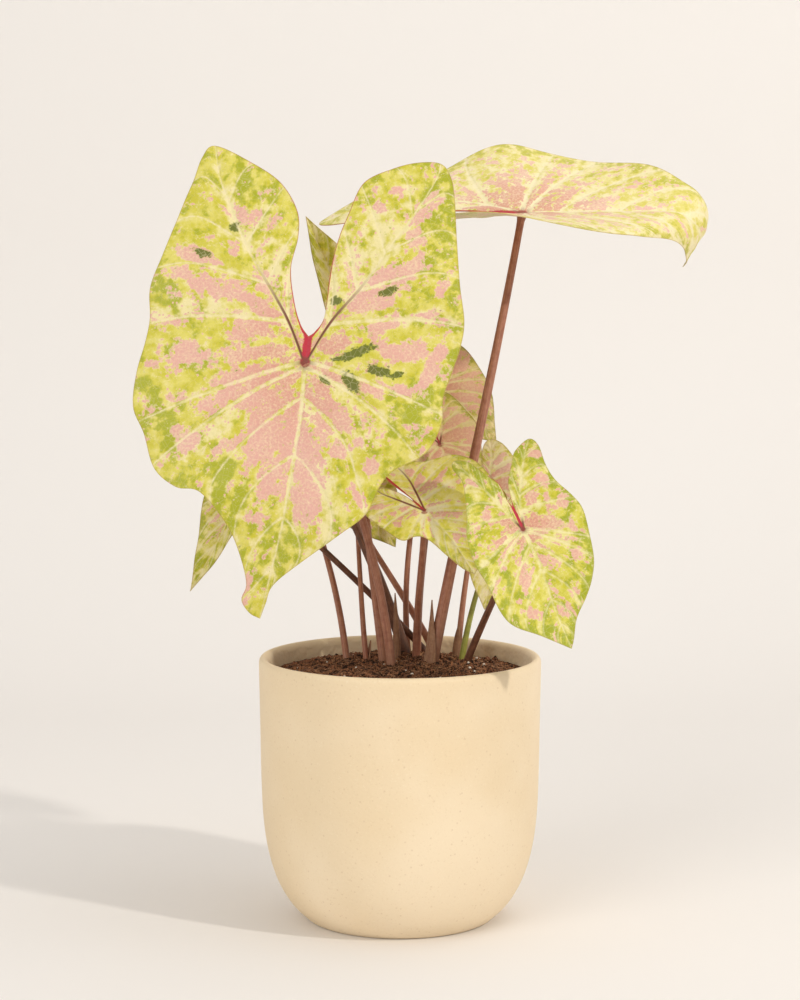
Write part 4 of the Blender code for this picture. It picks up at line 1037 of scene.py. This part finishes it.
FRONT_DARK = [
    (25, 4, 16, 5, 20), (35, -5, 13, 5, -15), (22, -10, 12, 6, -50), (43, -7, 6, 3, 0), (18, 1, 12, 2, 3),
    (39, 33, 9, 4, 20), (15, 29, 5, 6, 60), (-49, 53, 9, 3, -25), (-34, 66, 5, 5, 0), (9, -9, 6, 3, -45),
]
SMALL_ROSE = [
    (-6, 6, 13, 6, -68), (-14, 12, 8, 4, -103), (-12, -5, 10, 6, -20), (-15, -11, 9, 3, 35),
    (-17, -16, 4, 3, -20), (-9, -22, 18, 5, -105), (-11, -41, 12, 5, -31), (-16, -33, 3, 3, -20),
    (5, -17, 16, 9, -63), (10, -3, 15, 9, 1), (23, -6, 9, 4, -99), (9, 11, 17, 6, -108),
    (16, 9, 9, 3, -103), (23, 6, 7, 6, -63), (18, 20, 10, 5, -58), (20, 34, 7, 5, -42),
    (3, -44, 8, 6, -63), (19, -20, 7, 4, 40), (11, -37, 5, 3, -41), (-14, 30, 8, 3, -58),
    (2, -32, 7, 3, -63),
]
MIDDLE_ROSE = [
    (7, 11, 11, 10, -39), (14, 8, 15, 4, 16), (7, -9, 18, 6, -34), (4, -22, 9, 7, -101),
    (-17, 15, 7, 4, -39), (-13, 6, 7, 4, -62), (-15, 1, 5, 3, -72), (1, 27, 6, 3, -101),
    (8, 20, 9, 4, -62), (0, -5, 6, 6, -39), (-6, 3, 11, 5, -51), (22, 2, 4, 4, -39),
]
FRONT_PALE = [
    (29, 54, 76, 26, 60), (-14, 49, 60, 14, 112), (6, -58, 90, 24, -80), (-50, 27, 64, 12, 4),
    (53, 20, 44, 9, -5), (-40, -32, 60, 12, 32), (24, -30, 60, 12, -55), (-30, 66, 40, 9, -60),
]
FRONT_GREEN = [
    (-65, 34, 34, 12, -20), (71, 0, 66, 9, 95), (50, -26, 52, 26, 30), (-36, -56, 52, 24, -50),
    (-26, 82, 42, 18, -50), (60, 62, 76, 18, 85), (-62, -30, 50, 22, -60), (-52, 4, 34, 14, -10),
    (-14, -88, 40, 20, 60), (44, 40, 26, 12, 20),
]
LEAVES = {
    "front_left": dict(
        blade=dict(at=(-44.6, -55, 279.5), tip_to=(0, -0.26, -0.966), faces=(-0.05, -1, 0.26),
                   left=BIG_LEFT, right=BIG_RIGHT, midrib=BIG_MIDRIB, tip_droop=22, lobe_droop=6,
                   fold=5, curl=-12, ripples=((4, 0.1, 1.6), (4, 0.47, 1.6)), quilt=0.8),
        stalk=dict(foot=(-4.4, -14), lean=(-0.10, 0.02, 1), arrive=(-0.25, -0.75, 0.6), thick=(2.5, 1.7)),
        finish="leaf_lime", bark="stalk_red", rose=FRONT_ROSE, dark=FRONT_DARK, pale=FRONT_PALE,
        green=FRONT_GREEN, brown=62),
    "top": dict(
        blade=dict(at=(60.6, 25, 350), tip_to=(1, -0.06, 0.02), faces=(0, -0.30, 0.95),
                   left=TOP_NEAR, right=TOP_FAR, midrib=TOP_MIDRIB, tip_droop=4, lobe_droop=16,
                   fold=12, twist=-8, ripples=((1.6, 0.274, 5.5), (3.2, 0.426, 3.5)),
                   rolls=((0, -73, -116, 13, -118),), quilt=0.7),
        stalk=dict(foot=(15.8, -4), lean=(0.19, -0.02, 1), arrive=(0.18, 0.2, 1), thick=(3.3, 1.9)),
        finish="leaf_pale", bark="stalk_red", rosy=0.0, milky=0.2),
    "front_right": dict(
        blade=dict(at=(58.3, -50, 200.1), tip_to=(0.36, -0.42, -0.83), faces=(0.05, -0.87, 0.5),
                   left=FRONT_LEFT, right=FRONT_RIGHT, midrib=FRONT_MIDRIB, fine=1.5, tip_droop=15,
                   lobe_droop=10, fold=6, quilt=0.5),
        stalk=dict(foot=(33, 4), lean=(0.35, -0.35, 1), arrive=(0.1, -0.8, 0.6), thick=(2.1, 1.4)),
        finish="leaf_lime", bark="stalk_dark", look="leaf_fresh", rose=SMALL_ROSE, milky=-0.3, verdant=0.25),
    "middle": dict(
        blade=dict(at=(11.7, -30, 207), tip_to=(0.60, -0.50, -0.62), faces=(-0.12, -0.76, 0.64), fine=1.5,
                   left=MIDDLE_LEFT, right=MIDDLE_RIGHT, midrib=MIDDLE_MIDRIB, tip_droop=8,
                   lobe_droop=4, fold=4),
        stalk=dict(foot=(8, 11), lean=(0.0, -0.15, 1), arrive=(0, -0.5, 0.9), thick=(2.2, 1.5)),
        # This leaf lies in shade, and its brighter skin is painted light
        finish="leaf_lime", bark="stalk_red", rose=MIDDLE_ROSE, look="leaf_painted_light", milky=-0.4, brown=40),
    "folded": dict(
        blade=dict(at=(-19, 18, 289), tip_to=(-0.44, -0.05, 0.89), faces=(0.3, -0.9, 0.2), fine=1.2,
                   **plain_leaf(66, 0.62, tip_droop=-10, lobe_droop=10, fold=38)),
        stalk=dict(foot=(-8.5, -3), lean=(-0.12, 0.05, 1), arrive=(0.1, -0.1, 1), thick=(2.4, 1.4)),
        # This leaf lies in shade behind the big front leaf, and its brighter skin is painted light
        finish="leaf_olive", look="leaf_painted_light", bark="stalk_red", rosy=-0.1),
    "hanging": dict(
        blade=dict(at=(-75, 5, 221.5), tip_to=(-0.37, -0.25, -0.9), faces=(-0.5, -0.75, 0.25), fine=1.2,
                   **plain_leaf(66, 0.5, tip_droop=-15, lobe_droop=20, fold=25)),
        stalk=dict(foot=(14, 31), lean=(-0.85, -0.1, 1), arrive=(-0.6, -0.5, 0.8), thick=(2.0, 1.3)),
        finish="leaf_lime", bark="stalk_dark", rosy=-0.05),
    "back_high": dict(
        blade=dict(at=(19.5, 66, 262.5), tip_to=(0.72, -0.25, -0.6), faces=(0.1, -0.85, 0.5), fine=1.3,
                   **plain_leaf(43, 1.05, tip_droop=25, lobe_droop=10, fold=6)),
        stalk=dict(foot=(4, 39), lean=(-0.1, 0, 1), arrive=(0.2, -0.3, 1), thick=(1.8, 1.2)),
        finish="leaf_olive", bark="stalk_red", rosy=0.65),
    "back_low": dict(
        blade=dict(at=(20, 36, 234), tip_to=(0.35, -0.45, -0.8), faces=(0.1, -0.7, 0.7), fine=1.3,
                   **plain_leaf(40, 1.0, tip_droop=20, lobe_droop=10, fold=8)),
        stalk=dict(foot=(9, 24), lean=(0, 0, 1), arrive=(0.15, -0.3, 1), thick=(1.8, 1.2)),
        finish="leaf_olive", bark="stalk_red", rosy=0.55),
    "back_right": dict(
        blade=dict(at=(43.5, 42, 210), tip_to=(0.25, -0.35, -0.9), faces=(0.1, -0.85, 0.5), fine=1.3,
                   **plain_leaf(35, 1.1, tip_droop=20, lobe_droop=10, fold=8)),
        stalk=dict(foot=(29, 26), lean=(0.08, 0, 1), arrive=(0.3, -0.2, 1), thick=(1.8, 1.2)),
        finish="leaf_pale", bark="stalk_red", rosy=0.5),
    "inner": dict(
        blade=dict(at=(-23.5, 42, 212), tip_to=(0.58, -0.3, -0.75), faces=(-0.2, -0.6, 0.75), fine=1.2,
                   **plain_leaf(38, 1.0, tip_droop=20, lobe_droop=10, fold=8)),
        stalk=dict(foot=(-17, 5), lean=(-0.1, 0.1, 1), arrive=(-0.1, 0.1, 1), thick=(1.6, 1.1)),
        finish="leaf_lime", bark="stalk_red", rosy=0.0),
    "low_right": dict(
        blade=dict(at=(47.5, 6, 187), tip_to=(-0.14, -0.12, -0.97), faces=(0.2, -0.9, 0.15), fine=1.2,
                   **plain_leaf(34, 0.9, tip_droop=15, lobe_droop=20, fold=15)),
        stalk=dict(foot=(31, 15), lean=(0.15, 0, 1), arrive=(0.35, -0.5, 0.8), thick=(1.8, 1.1)),
        finish="leaf_pale", bark="stalk_green", rosy=0.1),
    "hidden_high": dict(
        blade=dict(at=(-84, 52, 300), tip_to=(-0.5, 0.45, -0.74), faces=(-0.5, 0.35, 0.8), fine=1.2,
                   **plain_leaf(46, 1.0, tip_droop=25, lobe_droop=10, fold=8)),
        stalk=dict(foot=(2.6, 20), lean=(-0.3, -0.02, 1), arrive=(-0.6, 0.2, 0.9), thick=(3.4, 1.6)),
        finish="leaf_lime", bark="stalk_dark", rosy=0.05),
    "hidden_left": dict(
        blade=dict(at=(-66, 64, 245), tip_to=(-0.4, 0.75, -0.5), faces=(-0.3, 0.4, 0.85), fine=1.2,
                   **plain_leaf(42, 1.0, tip_droop=25, lobe_droop=10, fold=8)),
        stalk=dict(foot=(-27, 14), lean=(-0.12, 0.45, 1), arrive=(-0.5, 0.5, 0.9), thick=(1.9, 1.3)),
        finish="leaf_lime", bark="stalk_red", rosy=0.05),
    "hidden_back": dict(
        blade=dict(at=(-30, 84, 205), tip_to=(0.1, 0.95, -0.3), faces=(0, 0.3, 0.95), fine=1.2,
                   **plain_leaf(42, 1.0, tip_droop=25, lobe_droop=10, fold=8)),
        stalk=dict(foot=(18, 42), lean=(-0.5, 0.2, 1), arrive=(-0.4, 0.4, 0.9), thick=(2.2, 1.3)),
        finish="leaf_lime", bark="stalk_red", rosy=0.05),
}
# The skin is thinnest at its edge, and full from six millimetres in
SKIN_THICKNESS = 0.5 * MM
EDGE_THICKNESS = 0.3 * MM
EDGE_WIDTH = 6
RIB_STANDS_OUT = 0.55 * MM
RIB_SINKS_IN = 0.12 * MM
SMALLEST_VEIN = 0.2
BLADE_CREASE = 70
# How far apart, in millimetres, the patterns of two leaves, two side veins and two halves are read
LEAF_LAYER = 40
LEAF_SHIFT = 70
VEIN_SHIFT = 14
HALF_SHIFT = 500.0
LOBE_SHIFT = 200.0


def rosiness(fields, blade, leaf):
    """How likely rose is: above 0 it usually shows."""
    if "rose" in leaf:
        near_middle = 0.9 * np.exp(-fields["middle"] / (0.2 * blade.tip_length)) - 0.5
        return np.maximum(np.clip(splash(fields, leaf["rose"]) * 1.3, -0.6, 0.42), near_middle)
    near_middle = 1.15 * np.exp(-fields["middle"] / (0.40 * blade.tip_length))
    return (near_middle + 0.5 * (fields["between"] - 0.5) - 0.62 + leaf["rosy"]
            - 0.8 * np.exp(-fields["edge"] / 3))


def darkness(fields, blade, leaf):
    """The same for dark green flecks."""
    if "dark" in leaf:
        return np.clip(splash(fields, leaf["dark"]), -0.52, 0.7)
    return -0.62 + 0.12 * np.exp(-fields["middle"] / (0.5 * blade.tip_length))


def stains(fields, blade, leaf):
    """How brown the lobe veins are, and where the ground turns pale or green, on the same scale."""
    brown = 1 - fields["middle"] / leaf.get("brown", 8)
    pale = leaf.get("milky", 0.0) - 0.2 + 0.6 * np.exp(-fields["middle"] / (0.5 * blade.tip_length))
    green = leaf.get("verdant", 0.0) + 1.3 * np.exp(-fields["edge"] / (0.1 * blade.tip_length)) - 0.65
    if "pale" in leaf:
        pale = np.clip(splash(fields, leaf["pale"]), -0.4, 0.7)
    if "green" in leaf:
        green = np.clip(splash(fields, leaf["green"]), -0.35, 0.6) + 0.6 * np.exp(-fields["edge"] / 7)
    return brown, pale, green


def joined_grids(blade):
    """The four grids of a blade: each one's values, point numbers that neighbours share, whether
    it's turned over, and how far its pattern is shifted."""
    steps = blade.steps
    last = 2 * steps
    spine = np.arange(steps + 1)
    notch = np.arange(steps + 1, steps + 1 + blade.inner)
    used = steps + 1 + blade.inner
    for number in (0, 1):
        outer, inner = blade.half(number)
        outer_ids = used + np.arange(outer["u"].size).reshape(outer["u"].shape)
        used += outer_ids.size
        outer_ids[:steps + 1, 0] = spine
        outer_ids[0, :] = spine[0]
        outer_ids[last, :] = outer_ids[last, 0]
        inner_ids = used + np.arange(inner["u"].size).reshape(inner["u"].shape)
        used += inner_ids.size
        inner_ids[:, 0] = outer_ids[steps:, 0]
        inner_ids[0, 1:] = notch
        inner_ids[steps, :] = outer_ids[last, 0]
        yield outer, outer_ids, number == 0, number * HALF_SHIFT
        yield inner, inner_ids, number == 1, number * HALF_SHIFT + LOBE_SHIFT


def ring_of(corners):
    """A face's corners without those that coincide."""
    kept = [corner for place, corner in enumerate(corners) if corner[0] != corners[place - 1][0]]
    return kept if len(kept) > 2 else []


def pattern_values(fields, blade, leaf, number, shift):
    """What the marbling reads at each point of a grid, by the name it's kept under."""
    same = np.zeros_like(fields["u"])
    values = {
        "flat": (fields["u"], fields["v"], same + number * LEAF_LAYER),
        "veins": (fields["order"], fields["gap"], fields["width"]),
        "ribs": (fields["rib"], fields["main"], fields["middle"] / blade.heart),
        "zones": (fields["edge"], fields["red"], rosiness(fields, blade, leaf)),
        "flow": (fields["order"] * VEIN_SHIFT + shift + number * LEAF_SHIFT, np.abs(fields["rib"]),
                 darkness(fields, blade, leaf) + same),
        "stains": stains(fields, blade, leaf),
    }
    return {key: np.stack(parts, -1).reshape(-1, 3) for key, parts in values.items()}


def ribs_and_fullness(fields):
    """How high the ribs are at each point, and how thick the skin is, from 0 at the margin to 1."""
    from_rib = np.abs(fields["rib"]) / np.maximum(fields["main"], SMALLEST_VEIN)
    from_vein = (np.abs(fields["order"] - np.rint(fields["order"])) * fields["gap"]
                 / np.maximum(fields["width"], SMALLEST_VEIN))
    full = np.clip(fields["edge"] / EDGE_WIDTH, 0, 1)
    return np.exp(-np.minimum(from_rib, from_vein) ** 2) * fields["main"] * full, full


def cell_corners(numbers):
    """The four corners of each cell of a grid of numbers."""
    corners = [numbers[:-1, :-1], numbers[:-1, 1:], numbers[1:, 1:], numbers[1:, :-1]]
    return np.stack(corners, -1).reshape(-1, 4).tolist()


def facing_of(middle, rings):
    """The way the sheet faces at each of its points."""
    normals = np.zeros_like(middle)
    for ring in rings:
        corners = middle[[spot for spot, kept in ring]]
        normal = np.cross(corners[1] - corners[0], corners[2] - corners[0])
        if len(corners) == 4:
            normal = normal + np.cross(corners[2] - corners[0], corners[3] - corners[0])
        normals[[spot for spot, kept in ring]] += normal
    return normals / np.maximum(np.linalg.norm(normals, axis=1), 1e-12)[:, None]


def closed_skin(rings, count):
    """Rings of the upper side, the lower side, whose points follow after the count, and the rim."""
    edges = {}
    for ring in rings:
        for here, there in zip(ring, ring[1:] + ring[:1]):
            edges[(here[0], there[0])] = (here, there)
    rim = [ends for (a, b), ends in edges.items() if (b, a) not in edges]
    skin = rings + [[(spot + count, kept) for spot, kept in ring[::-1]] for ring in rings]
    return skin + [[b, a, (a[0] + count, a[1]), (b[0] + count, b[1])] for a, b in rim]


def build_blade(name, leaf, number):
    """One blade as a thin closed body, with the values that its pattern reads kept on its corners.
    A ring is a face: for each corner, its point's number and the row of values it reads."""
    blade = Blade(**leaf["blade"])
    patterns, spots, rings, counted = [], {}, [], 0
    for fields, ids, turned_over, shift in joined_grids(blade):
        place = blade.place(fields["u"], fields["v"], fields["rise"])
        ribs, fullness = ribs_and_fullness(fields)
        for spot, where, rib, full in zip(ids.ravel(), place.reshape(-1, 3), ribs.ravel(), fullness.ravel()):
            spots[spot] = (where, rib, full)
        patterns.append(pattern_values(fields, blade, leaf, number, shift))
        rows = counted + np.arange(ids.size).reshape(ids.shape)
        counted += ids.size
        for shared, kept in zip(cell_corners(ids), cell_corners(rows)):
            ring = ring_of(list(zip(shared, kept)))
            if ring:
                rings.append(ring[::-1] if turned_over else ring)
    used = sorted({spot for ring in rings for spot, kept in ring})
    renumber = {spot: place for place, spot in enumerate(used)}
    rings = [[(renumber[spot], kept) for spot, kept in ring] for ring in rings]
    middle = np.array([spots[spot][0] for spot in used])
    rib = np.array([spots[spot][1] for spot in used])[:, None]
    full = np.array([spots[spot][2] for spot in used])[:, None]
    facing = facing_of(middle, rings)
    half = (EDGE_THICKNESS + (SKIN_THICKNESS - EDGE_THICKNESS) * full) / 2
    upper = middle + facing * (half - RIB_SINKS_IN * rib)
    lower = middle - facing * (half + RIB_STANDS_OUT * rib)
    skin = closed_skin(rings, len(used))
    piece = new_piece(name, np.vstack([upper, lower]), [[spot for spot, kept in ring] for ring in skin],
                      FINISHES[leaf.get("look", leaf["finish"])], crease=BLADE_CREASE)
    rows = [kept for ring in skin for spot, kept in ring]
    for key in patterns[0]:
        values = np.vstack([pattern[key] for pattern in patterns])
        layer = piece.data.attributes.new(key, "FLOAT_VECTOR", "CORNER")
        layer.data.foreach_set("vector", values[rows].astype(np.float32).ravel())
    under = np.zeros(len(skin), np.int32)
    under[len(rings):2 * len(rings)] = 1
    piece.data.polygons.foreach_set("material_index", under)
    return piece, blade


blades = {}
for leaf_number, (leaf_name, leaf) in enumerate(LEAVES.items()):
    leaf_piece, blades[leaf_name] = build_blade("blade_" + leaf_name, leaf, leaf_number)
    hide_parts("leaf_" + leaf_name)
    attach(leaf_piece, "root")


# The stalks: each leaf has one, round and smooth with a shallow channel, thickest at the foot,
# where it comes off the tuber, and growing into the back of its blade.
TUBER_CENTRE = (3 * MM, 8 * MM)
TUBER_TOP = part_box("tuber")[1].z
STALK_FOOT_GAP = 1.6 * MM
STALK_GATHER = 0.72
STALK_STEPS = 56
STALK_SIDES = 20
STALK_TAPER = 0.8
# How far under its blade a stalk's middle line ends, in millimetres
STALK_INSET = 0.3
STALK_CREASE = 60
LEAN_REACH = 0.35
ARRIVE_REACH = 0.3
CHANNEL_DEPTH = 0.16
CHANNEL_WIDTH = 0.5
FLARE = 0.5
FLARE_FADE = 2.5
FLARE_LENGTH = 5 * MM


def stalk_skin():
    """Group: fine lengthwise streaks and blotches on a stalk or sheath."""
    tree, given = new_group("stalk_skin", "ShaderNodeTree",
                            {"Dark": "Color", "Light": "Color", "Foot": "Color"},
                            {"Color": "Color", "Height": "Float"})
    wiring = Wiring(tree)
    grown = wiring.node("ShaderNodeAttribute", attribute_name="grown").outputs["Vector"]
    share = wiring.node("ShaderNodeAttribute", attribute_name="share").outputs["Fac"]
    long_way = wiring.vector("MULTIPLY", grown, (2.4, 2.4, 0.05))
    streaks = wiring.clouds(long_way, 1.0, 3.0, 0.6)
    blots = wiring.clouds(grown, 0.35, 3.0, 0.6)
    mixed = wiring.maths("MULTIPLY_ADD", streaks, 0.6, wiring.maths("MULTIPLY", blots, 0.4))
    colour = wiring.blend(wiring.rise(mixed, 0.30, 0.70), given["Dark"], given["Light"])
    foot = wiring.maths("MULTIPLY", wiring.rise(share, 0.22, 0.05), wiring.rise(blots, 0.3, 0.6, 0.5, 1.0))
    colour = wiring.blend(foot, colour, given["Foot"])
    wiring.node("NodeGroupOutput", {"Color": colour, "Height": streaks})
    return tree


STALK_SKIN = stalk_skin()


def stalk_finish(name, dark, light, foot, roughness=0.42, depth=0.12):
    """A stalk or sheath finish: two streaked browns or greens, and the colour of the foot."""
    finish, shader, wiring = new_finish(name, roughness, Specular_IOR_Level=0.45)
    skin = wiring.node("ShaderNodeGroup", {"Dark": paint(dark), "Light": paint(light), "Foot": paint(foot)},
                       node_tree=STALK_SKIN)
    rough = wiring.rise(skin.outputs["Height"], 0.3, 0.7, roughness, roughness + 0.14)
    wiring.feed(shader.inputs["Base Color"], skin.outputs["Color"])
    wiring.feed(shader.inputs["Roughness"], rough)
    wiring.feed(shader.inputs["Normal"], wiring.relief(skin.outputs["Height"], depth * MM, 0.7))
    return finish


BARKS = {
    "stalk_red": stalk_finish("stalk_red_skin", "8f553f", "bd8468", "a58067"),
    "stalk_dark": stalk_finish("stalk_dark_skin", "4e2f20", "8a5b42", "644636"),
    "stalk_green": stalk_finish("stalk_green_skin", "8d8a38", "b9bd5e", "a08a52"),
}


def stalk_path(leaf, blade):
    """Middle line of a stalk: from the tuber up out of the soil to the back of its blade."""
    stalk = leaf["stalk"]
    rooted = Vector((stalk["foot"][0] * MM, stalk["foot"][1] * MM, 0.0))
    rooted.z = soil_height(rooted.x, rooted.y)
    top = Vector(blade.at) - Vector(blade.facing) * STALK_INSET * MM
    start = Vector((TUBER_CENTRE[0], TUBER_CENTRE[1], 0.0)).lerp(rooted, STALK_GATHER)
    start.z = TUBER_TOP + STALK_FOOT_GAP
    span = (top - rooted).length
    near = rooted + Vector(stalk["lean"]).normalized() * span * LEAN_REACH
    far = top - Vector(stalk["arrive"]).normalized() * span * ARRIVE_REACH
    path = [start, start.lerp(rooted, 0.5)]
    for step in range(STALK_STEPS + 1):
        t = step / STALK_STEPS
        path.append(rooted * (1 - t) ** 3 + near * 3 * t * (1 - t) ** 2
                    + far * 3 * t * t * (1 - t) + top * t ** 3)
    return path


def round_bar(path, radii, sides, channel):
    """Points, faces and growth values of a round bar along a line, with a channel down one side
    and closed ends."""
    points, grown, shares, faces = [], [], [], []
    across = Vector((1, 0, 0))
    length = 0.0
    total = sum((there - here).length for here, there in zip(path, path[1:]))
    for place, here in enumerate(path):
        ahead = (path[min(place + 1, len(path) - 1)] - path[max(place - 1, 0)]).normalized()
        length += (here - path[place - 1]).length if place else 0.0
        across = (across - ahead * across.dot(ahead)).normalized()
        beside = ahead.cross(across)
        for step in range(sides):
            turn = 2 * math.pi * step / sides
            radius = radii[place] * (1 - channel * math.exp(-((turn - math.pi) / CHANNEL_WIDTH) ** 2))
            points.append(here + (across * math.cos(turn) + beside * math.sin(turn)) * radius)
            grown.append((radius / MM * math.cos(turn), radius / MM * math.sin(turn), length / MM))
            shares.append(length / total)
    for ring in range(len(path) - 1):
        for step in range(sides):
            after = (step + 1) % sides
            low = ring * sides
            faces.append((low + step, low + after, low + sides + after, low + sides + step))
    faces.append(tuple(reversed(range(sides))))
    faces.append(tuple(range(len(points) - sides, len(points))))
    return points, faces, grown, shares


def growth_values(piece, grown, shares):
    """Keeps where each point grew, for the streaks."""
    layer = piece.data.attributes.new("grown", "FLOAT_VECTOR", "POINT")
    layer.data.foreach_set("vector", np.array(grown, np.float32).ravel())
    layer = piece.data.attributes.new("share", "FLOAT", "POINT")
    layer.data.foreach_set("value", np.array(shares, np.float32))


def build_stalk(name, leaf, blade):
    """A stalk that tapers upwards and flares a little where it meets its blade."""
    path = stalk_path(leaf, blade)
    thick, thin = leaf["stalk"]["thick"]
    count = len(path)
    radii = []
    for place, here in enumerate(path):
        radius = (thick + (thin - thick) * (place / (count - 1)) ** STALK_TAPER) * MM
        left = (path[-1] - here).length
        radii.append(radius * (1 + FLARE * math.exp(-left / FLARE_LENGTH * FLARE_FADE)))
    points, faces, grown, shares = round_bar(path, radii, STALK_SIDES, CHANNEL_DEPTH)
    piece = new_piece(name, points, faces, [BARKS[leaf["bark"]]], crease=STALK_CREASE)
    growth_values(piece, grown, shares)
    return piece


for leaf_name, leaf in LEAVES.items():
    stalk_piece = build_stalk("petiole_" + leaf_name, leaf, blades[leaf_name])
    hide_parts("stalk_" + leaf_name)
    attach(stalk_piece, "root")


# The young shoot is a new leaf still rolled to a point, and three stalks keep the brown papery
# sheath that they grew through, split down one side and springing away at its tip.
SHOOT_FOOT = (-1 * MM, 5 * MM)
SHOOT_TIP = (-2.5 * MM, 6 * MM, 162 * MM)
SHOOT_RADIUS = 2.4 * MM
SHOOT_STEPS = 30
SHOOT_CHANNEL = 0.25
# How thick the shoot is, as a share of its radius, at five even steps and at its tip
SHOOT_TAPER = (0.9, 1, 1, 0.85, 0.55, 0.12)
SHEATH_THICKNESS = 0.5 * MM
SHEATH_GAP = 0.4 * MM
SHEATH_DEPTH = 5 * MM
SHEATHS = {
    "sheath_top": dict(stalk="top", height=36, facing=190, spread=120, spring=2.2),
    "sheath_inner": dict(stalk="inner", height=14, facing=20, spread=100, spring=1.2),
    "sheath_low": dict(stalk="back_right", height=22, facing=-100, spread=110, spring=1.6),
}
SHEATH_RINGS = 24
SHEATH_COLUMNS = 24
SHEATH_CREASE = 50
SHEATH_POINT = 0.03
SHEATH_STREAK_STRETCH = 1.5


def build_shoot(finish):
    """The rolled leaf, pointed and with a channel where its edge lies."""
    foot = Vector((*SHOOT_FOOT, TUBER_TOP + STALK_FOOT_GAP))
    stations = [step / SHOOT_STEPS for step in range(SHOOT_STEPS + 1)]
    path = [foot.lerp(Vector(SHOOT_TIP), station) for station in stations]
    radii = [SHOOT_RADIUS * float(np.interp(station, (0, 0.2, 0.4, 0.6, 0.8, 1.0), SHOOT_TAPER))
             for station in stations]
    points, faces, grown, shares = round_bar(path, radii, STALK_SIDES, SHOOT_CHANNEL)
    piece = new_piece("shoot_rolled", points, faces, [finish], crease=STALK_CREASE)
    growth_values(piece, grown, shares)
    return piece


def point_at_height(path, height):
    """Where a rising line passes a height."""
    for low, high in zip(path, path[1:]):
        if low.z <= height <= high.z:
            return low.lerp(high, (height - low.z) / (high.z - low.z))
    return path[-1].copy()


def build_sheath(name, sheath, leaf, blade, finish):
    """A thin pointed sheath with an even wall, closed at its edges."""
    path = stalk_path(leaf, blade)
    way = math.radians(sheath["facing"])
    outward = Vector((math.cos(way), math.sin(way), 0))
    wall = leaf["stalk"]["thick"][0] * MM + SHEATH_GAP
    points, grown, shares, faces = [], [], [], []
    for ring in range(SHEATH_RINGS + 1):
        share = ring / SHEATH_RINGS
        middle = point_at_height(path, path[2].z - SHEATH_DEPTH + sheath["height"] * MM * share)
        middle += outward * sheath["spring"] * MM * share ** 2
        half = math.radians(sheath["spread"]) * max(SHEATH_POINT, (1 - share) ** 0.7)
        for radius in (wall, wall + SHEATH_THICKNESS):
            for column in range(SHEATH_COLUMNS + 1):
                turn = way + half * (2 * column / SHEATH_COLUMNS - 1)
                points.append(middle + Vector((math.cos(turn), math.sin(turn), 0)) * radius)
                grown.append((radius / MM * math.cos(turn), radius / MM * math.sin(turn),
                              share * sheath["height"] * SHEATH_STREAK_STRETCH))
                shares.append(0.3 + 0.7 * share)
    width = SHEATH_COLUMNS + 1

    def spot(ring, shell, column):
        return (ring * 2 + shell) * width + column

    for ring in range(SHEATH_RINGS):
        for column in range(SHEATH_COLUMNS):
            for shell in (0, 1):
                face = [spot(ring, shell, column), spot(ring, shell, column + 1),
                        spot(ring + 1, shell, column + 1), spot(ring + 1, shell, column)]
                faces.append(face if shell else face[::-1])
        faces.append([spot(ring, 0, 0), spot(ring, 1, 0), spot(ring + 1, 1, 0), spot(ring + 1, 0, 0)])
        faces.append([spot(ring, 1, width - 1), spot(ring, 0, width - 1),
                      spot(ring + 1, 0, width - 1), spot(ring + 1, 1, width - 1)])
    for column in range(SHEATH_COLUMNS):
        faces.append([spot(0, 0, column), spot(0, 0, column + 1), spot(0, 1, column + 1), spot(0, 1, column)])
        faces.append([spot(SHEATH_RINGS, 1, column), spot(SHEATH_RINGS, 1, column + 1),
                      spot(SHEATH_RINGS, 0, column + 1), spot(SHEATH_RINGS, 0, column)])
    piece = new_piece(name, points, faces, [finish], crease=SHEATH_CREASE)
    growth_values(piece, grown, shares)
    return piece


PAPERY = stalk_finish("sheath_brown_skin", "855a40", "b48a6a", "6e4a35", roughness=0.6, depth=0.35)
shoot = build_shoot(PAPERY)
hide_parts("young_shoot")
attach(shoot, "root")
for sheath_name, sheath in SHEATHS.items():
    leaf_name = sheath["stalk"]
    sheath_piece = build_sheath(sheath_name + "_dry", sheath, LEAVES[leaf_name], blades[leaf_name], PAPERY)
    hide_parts(sheath_name)
    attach(sheath_piece, "root")
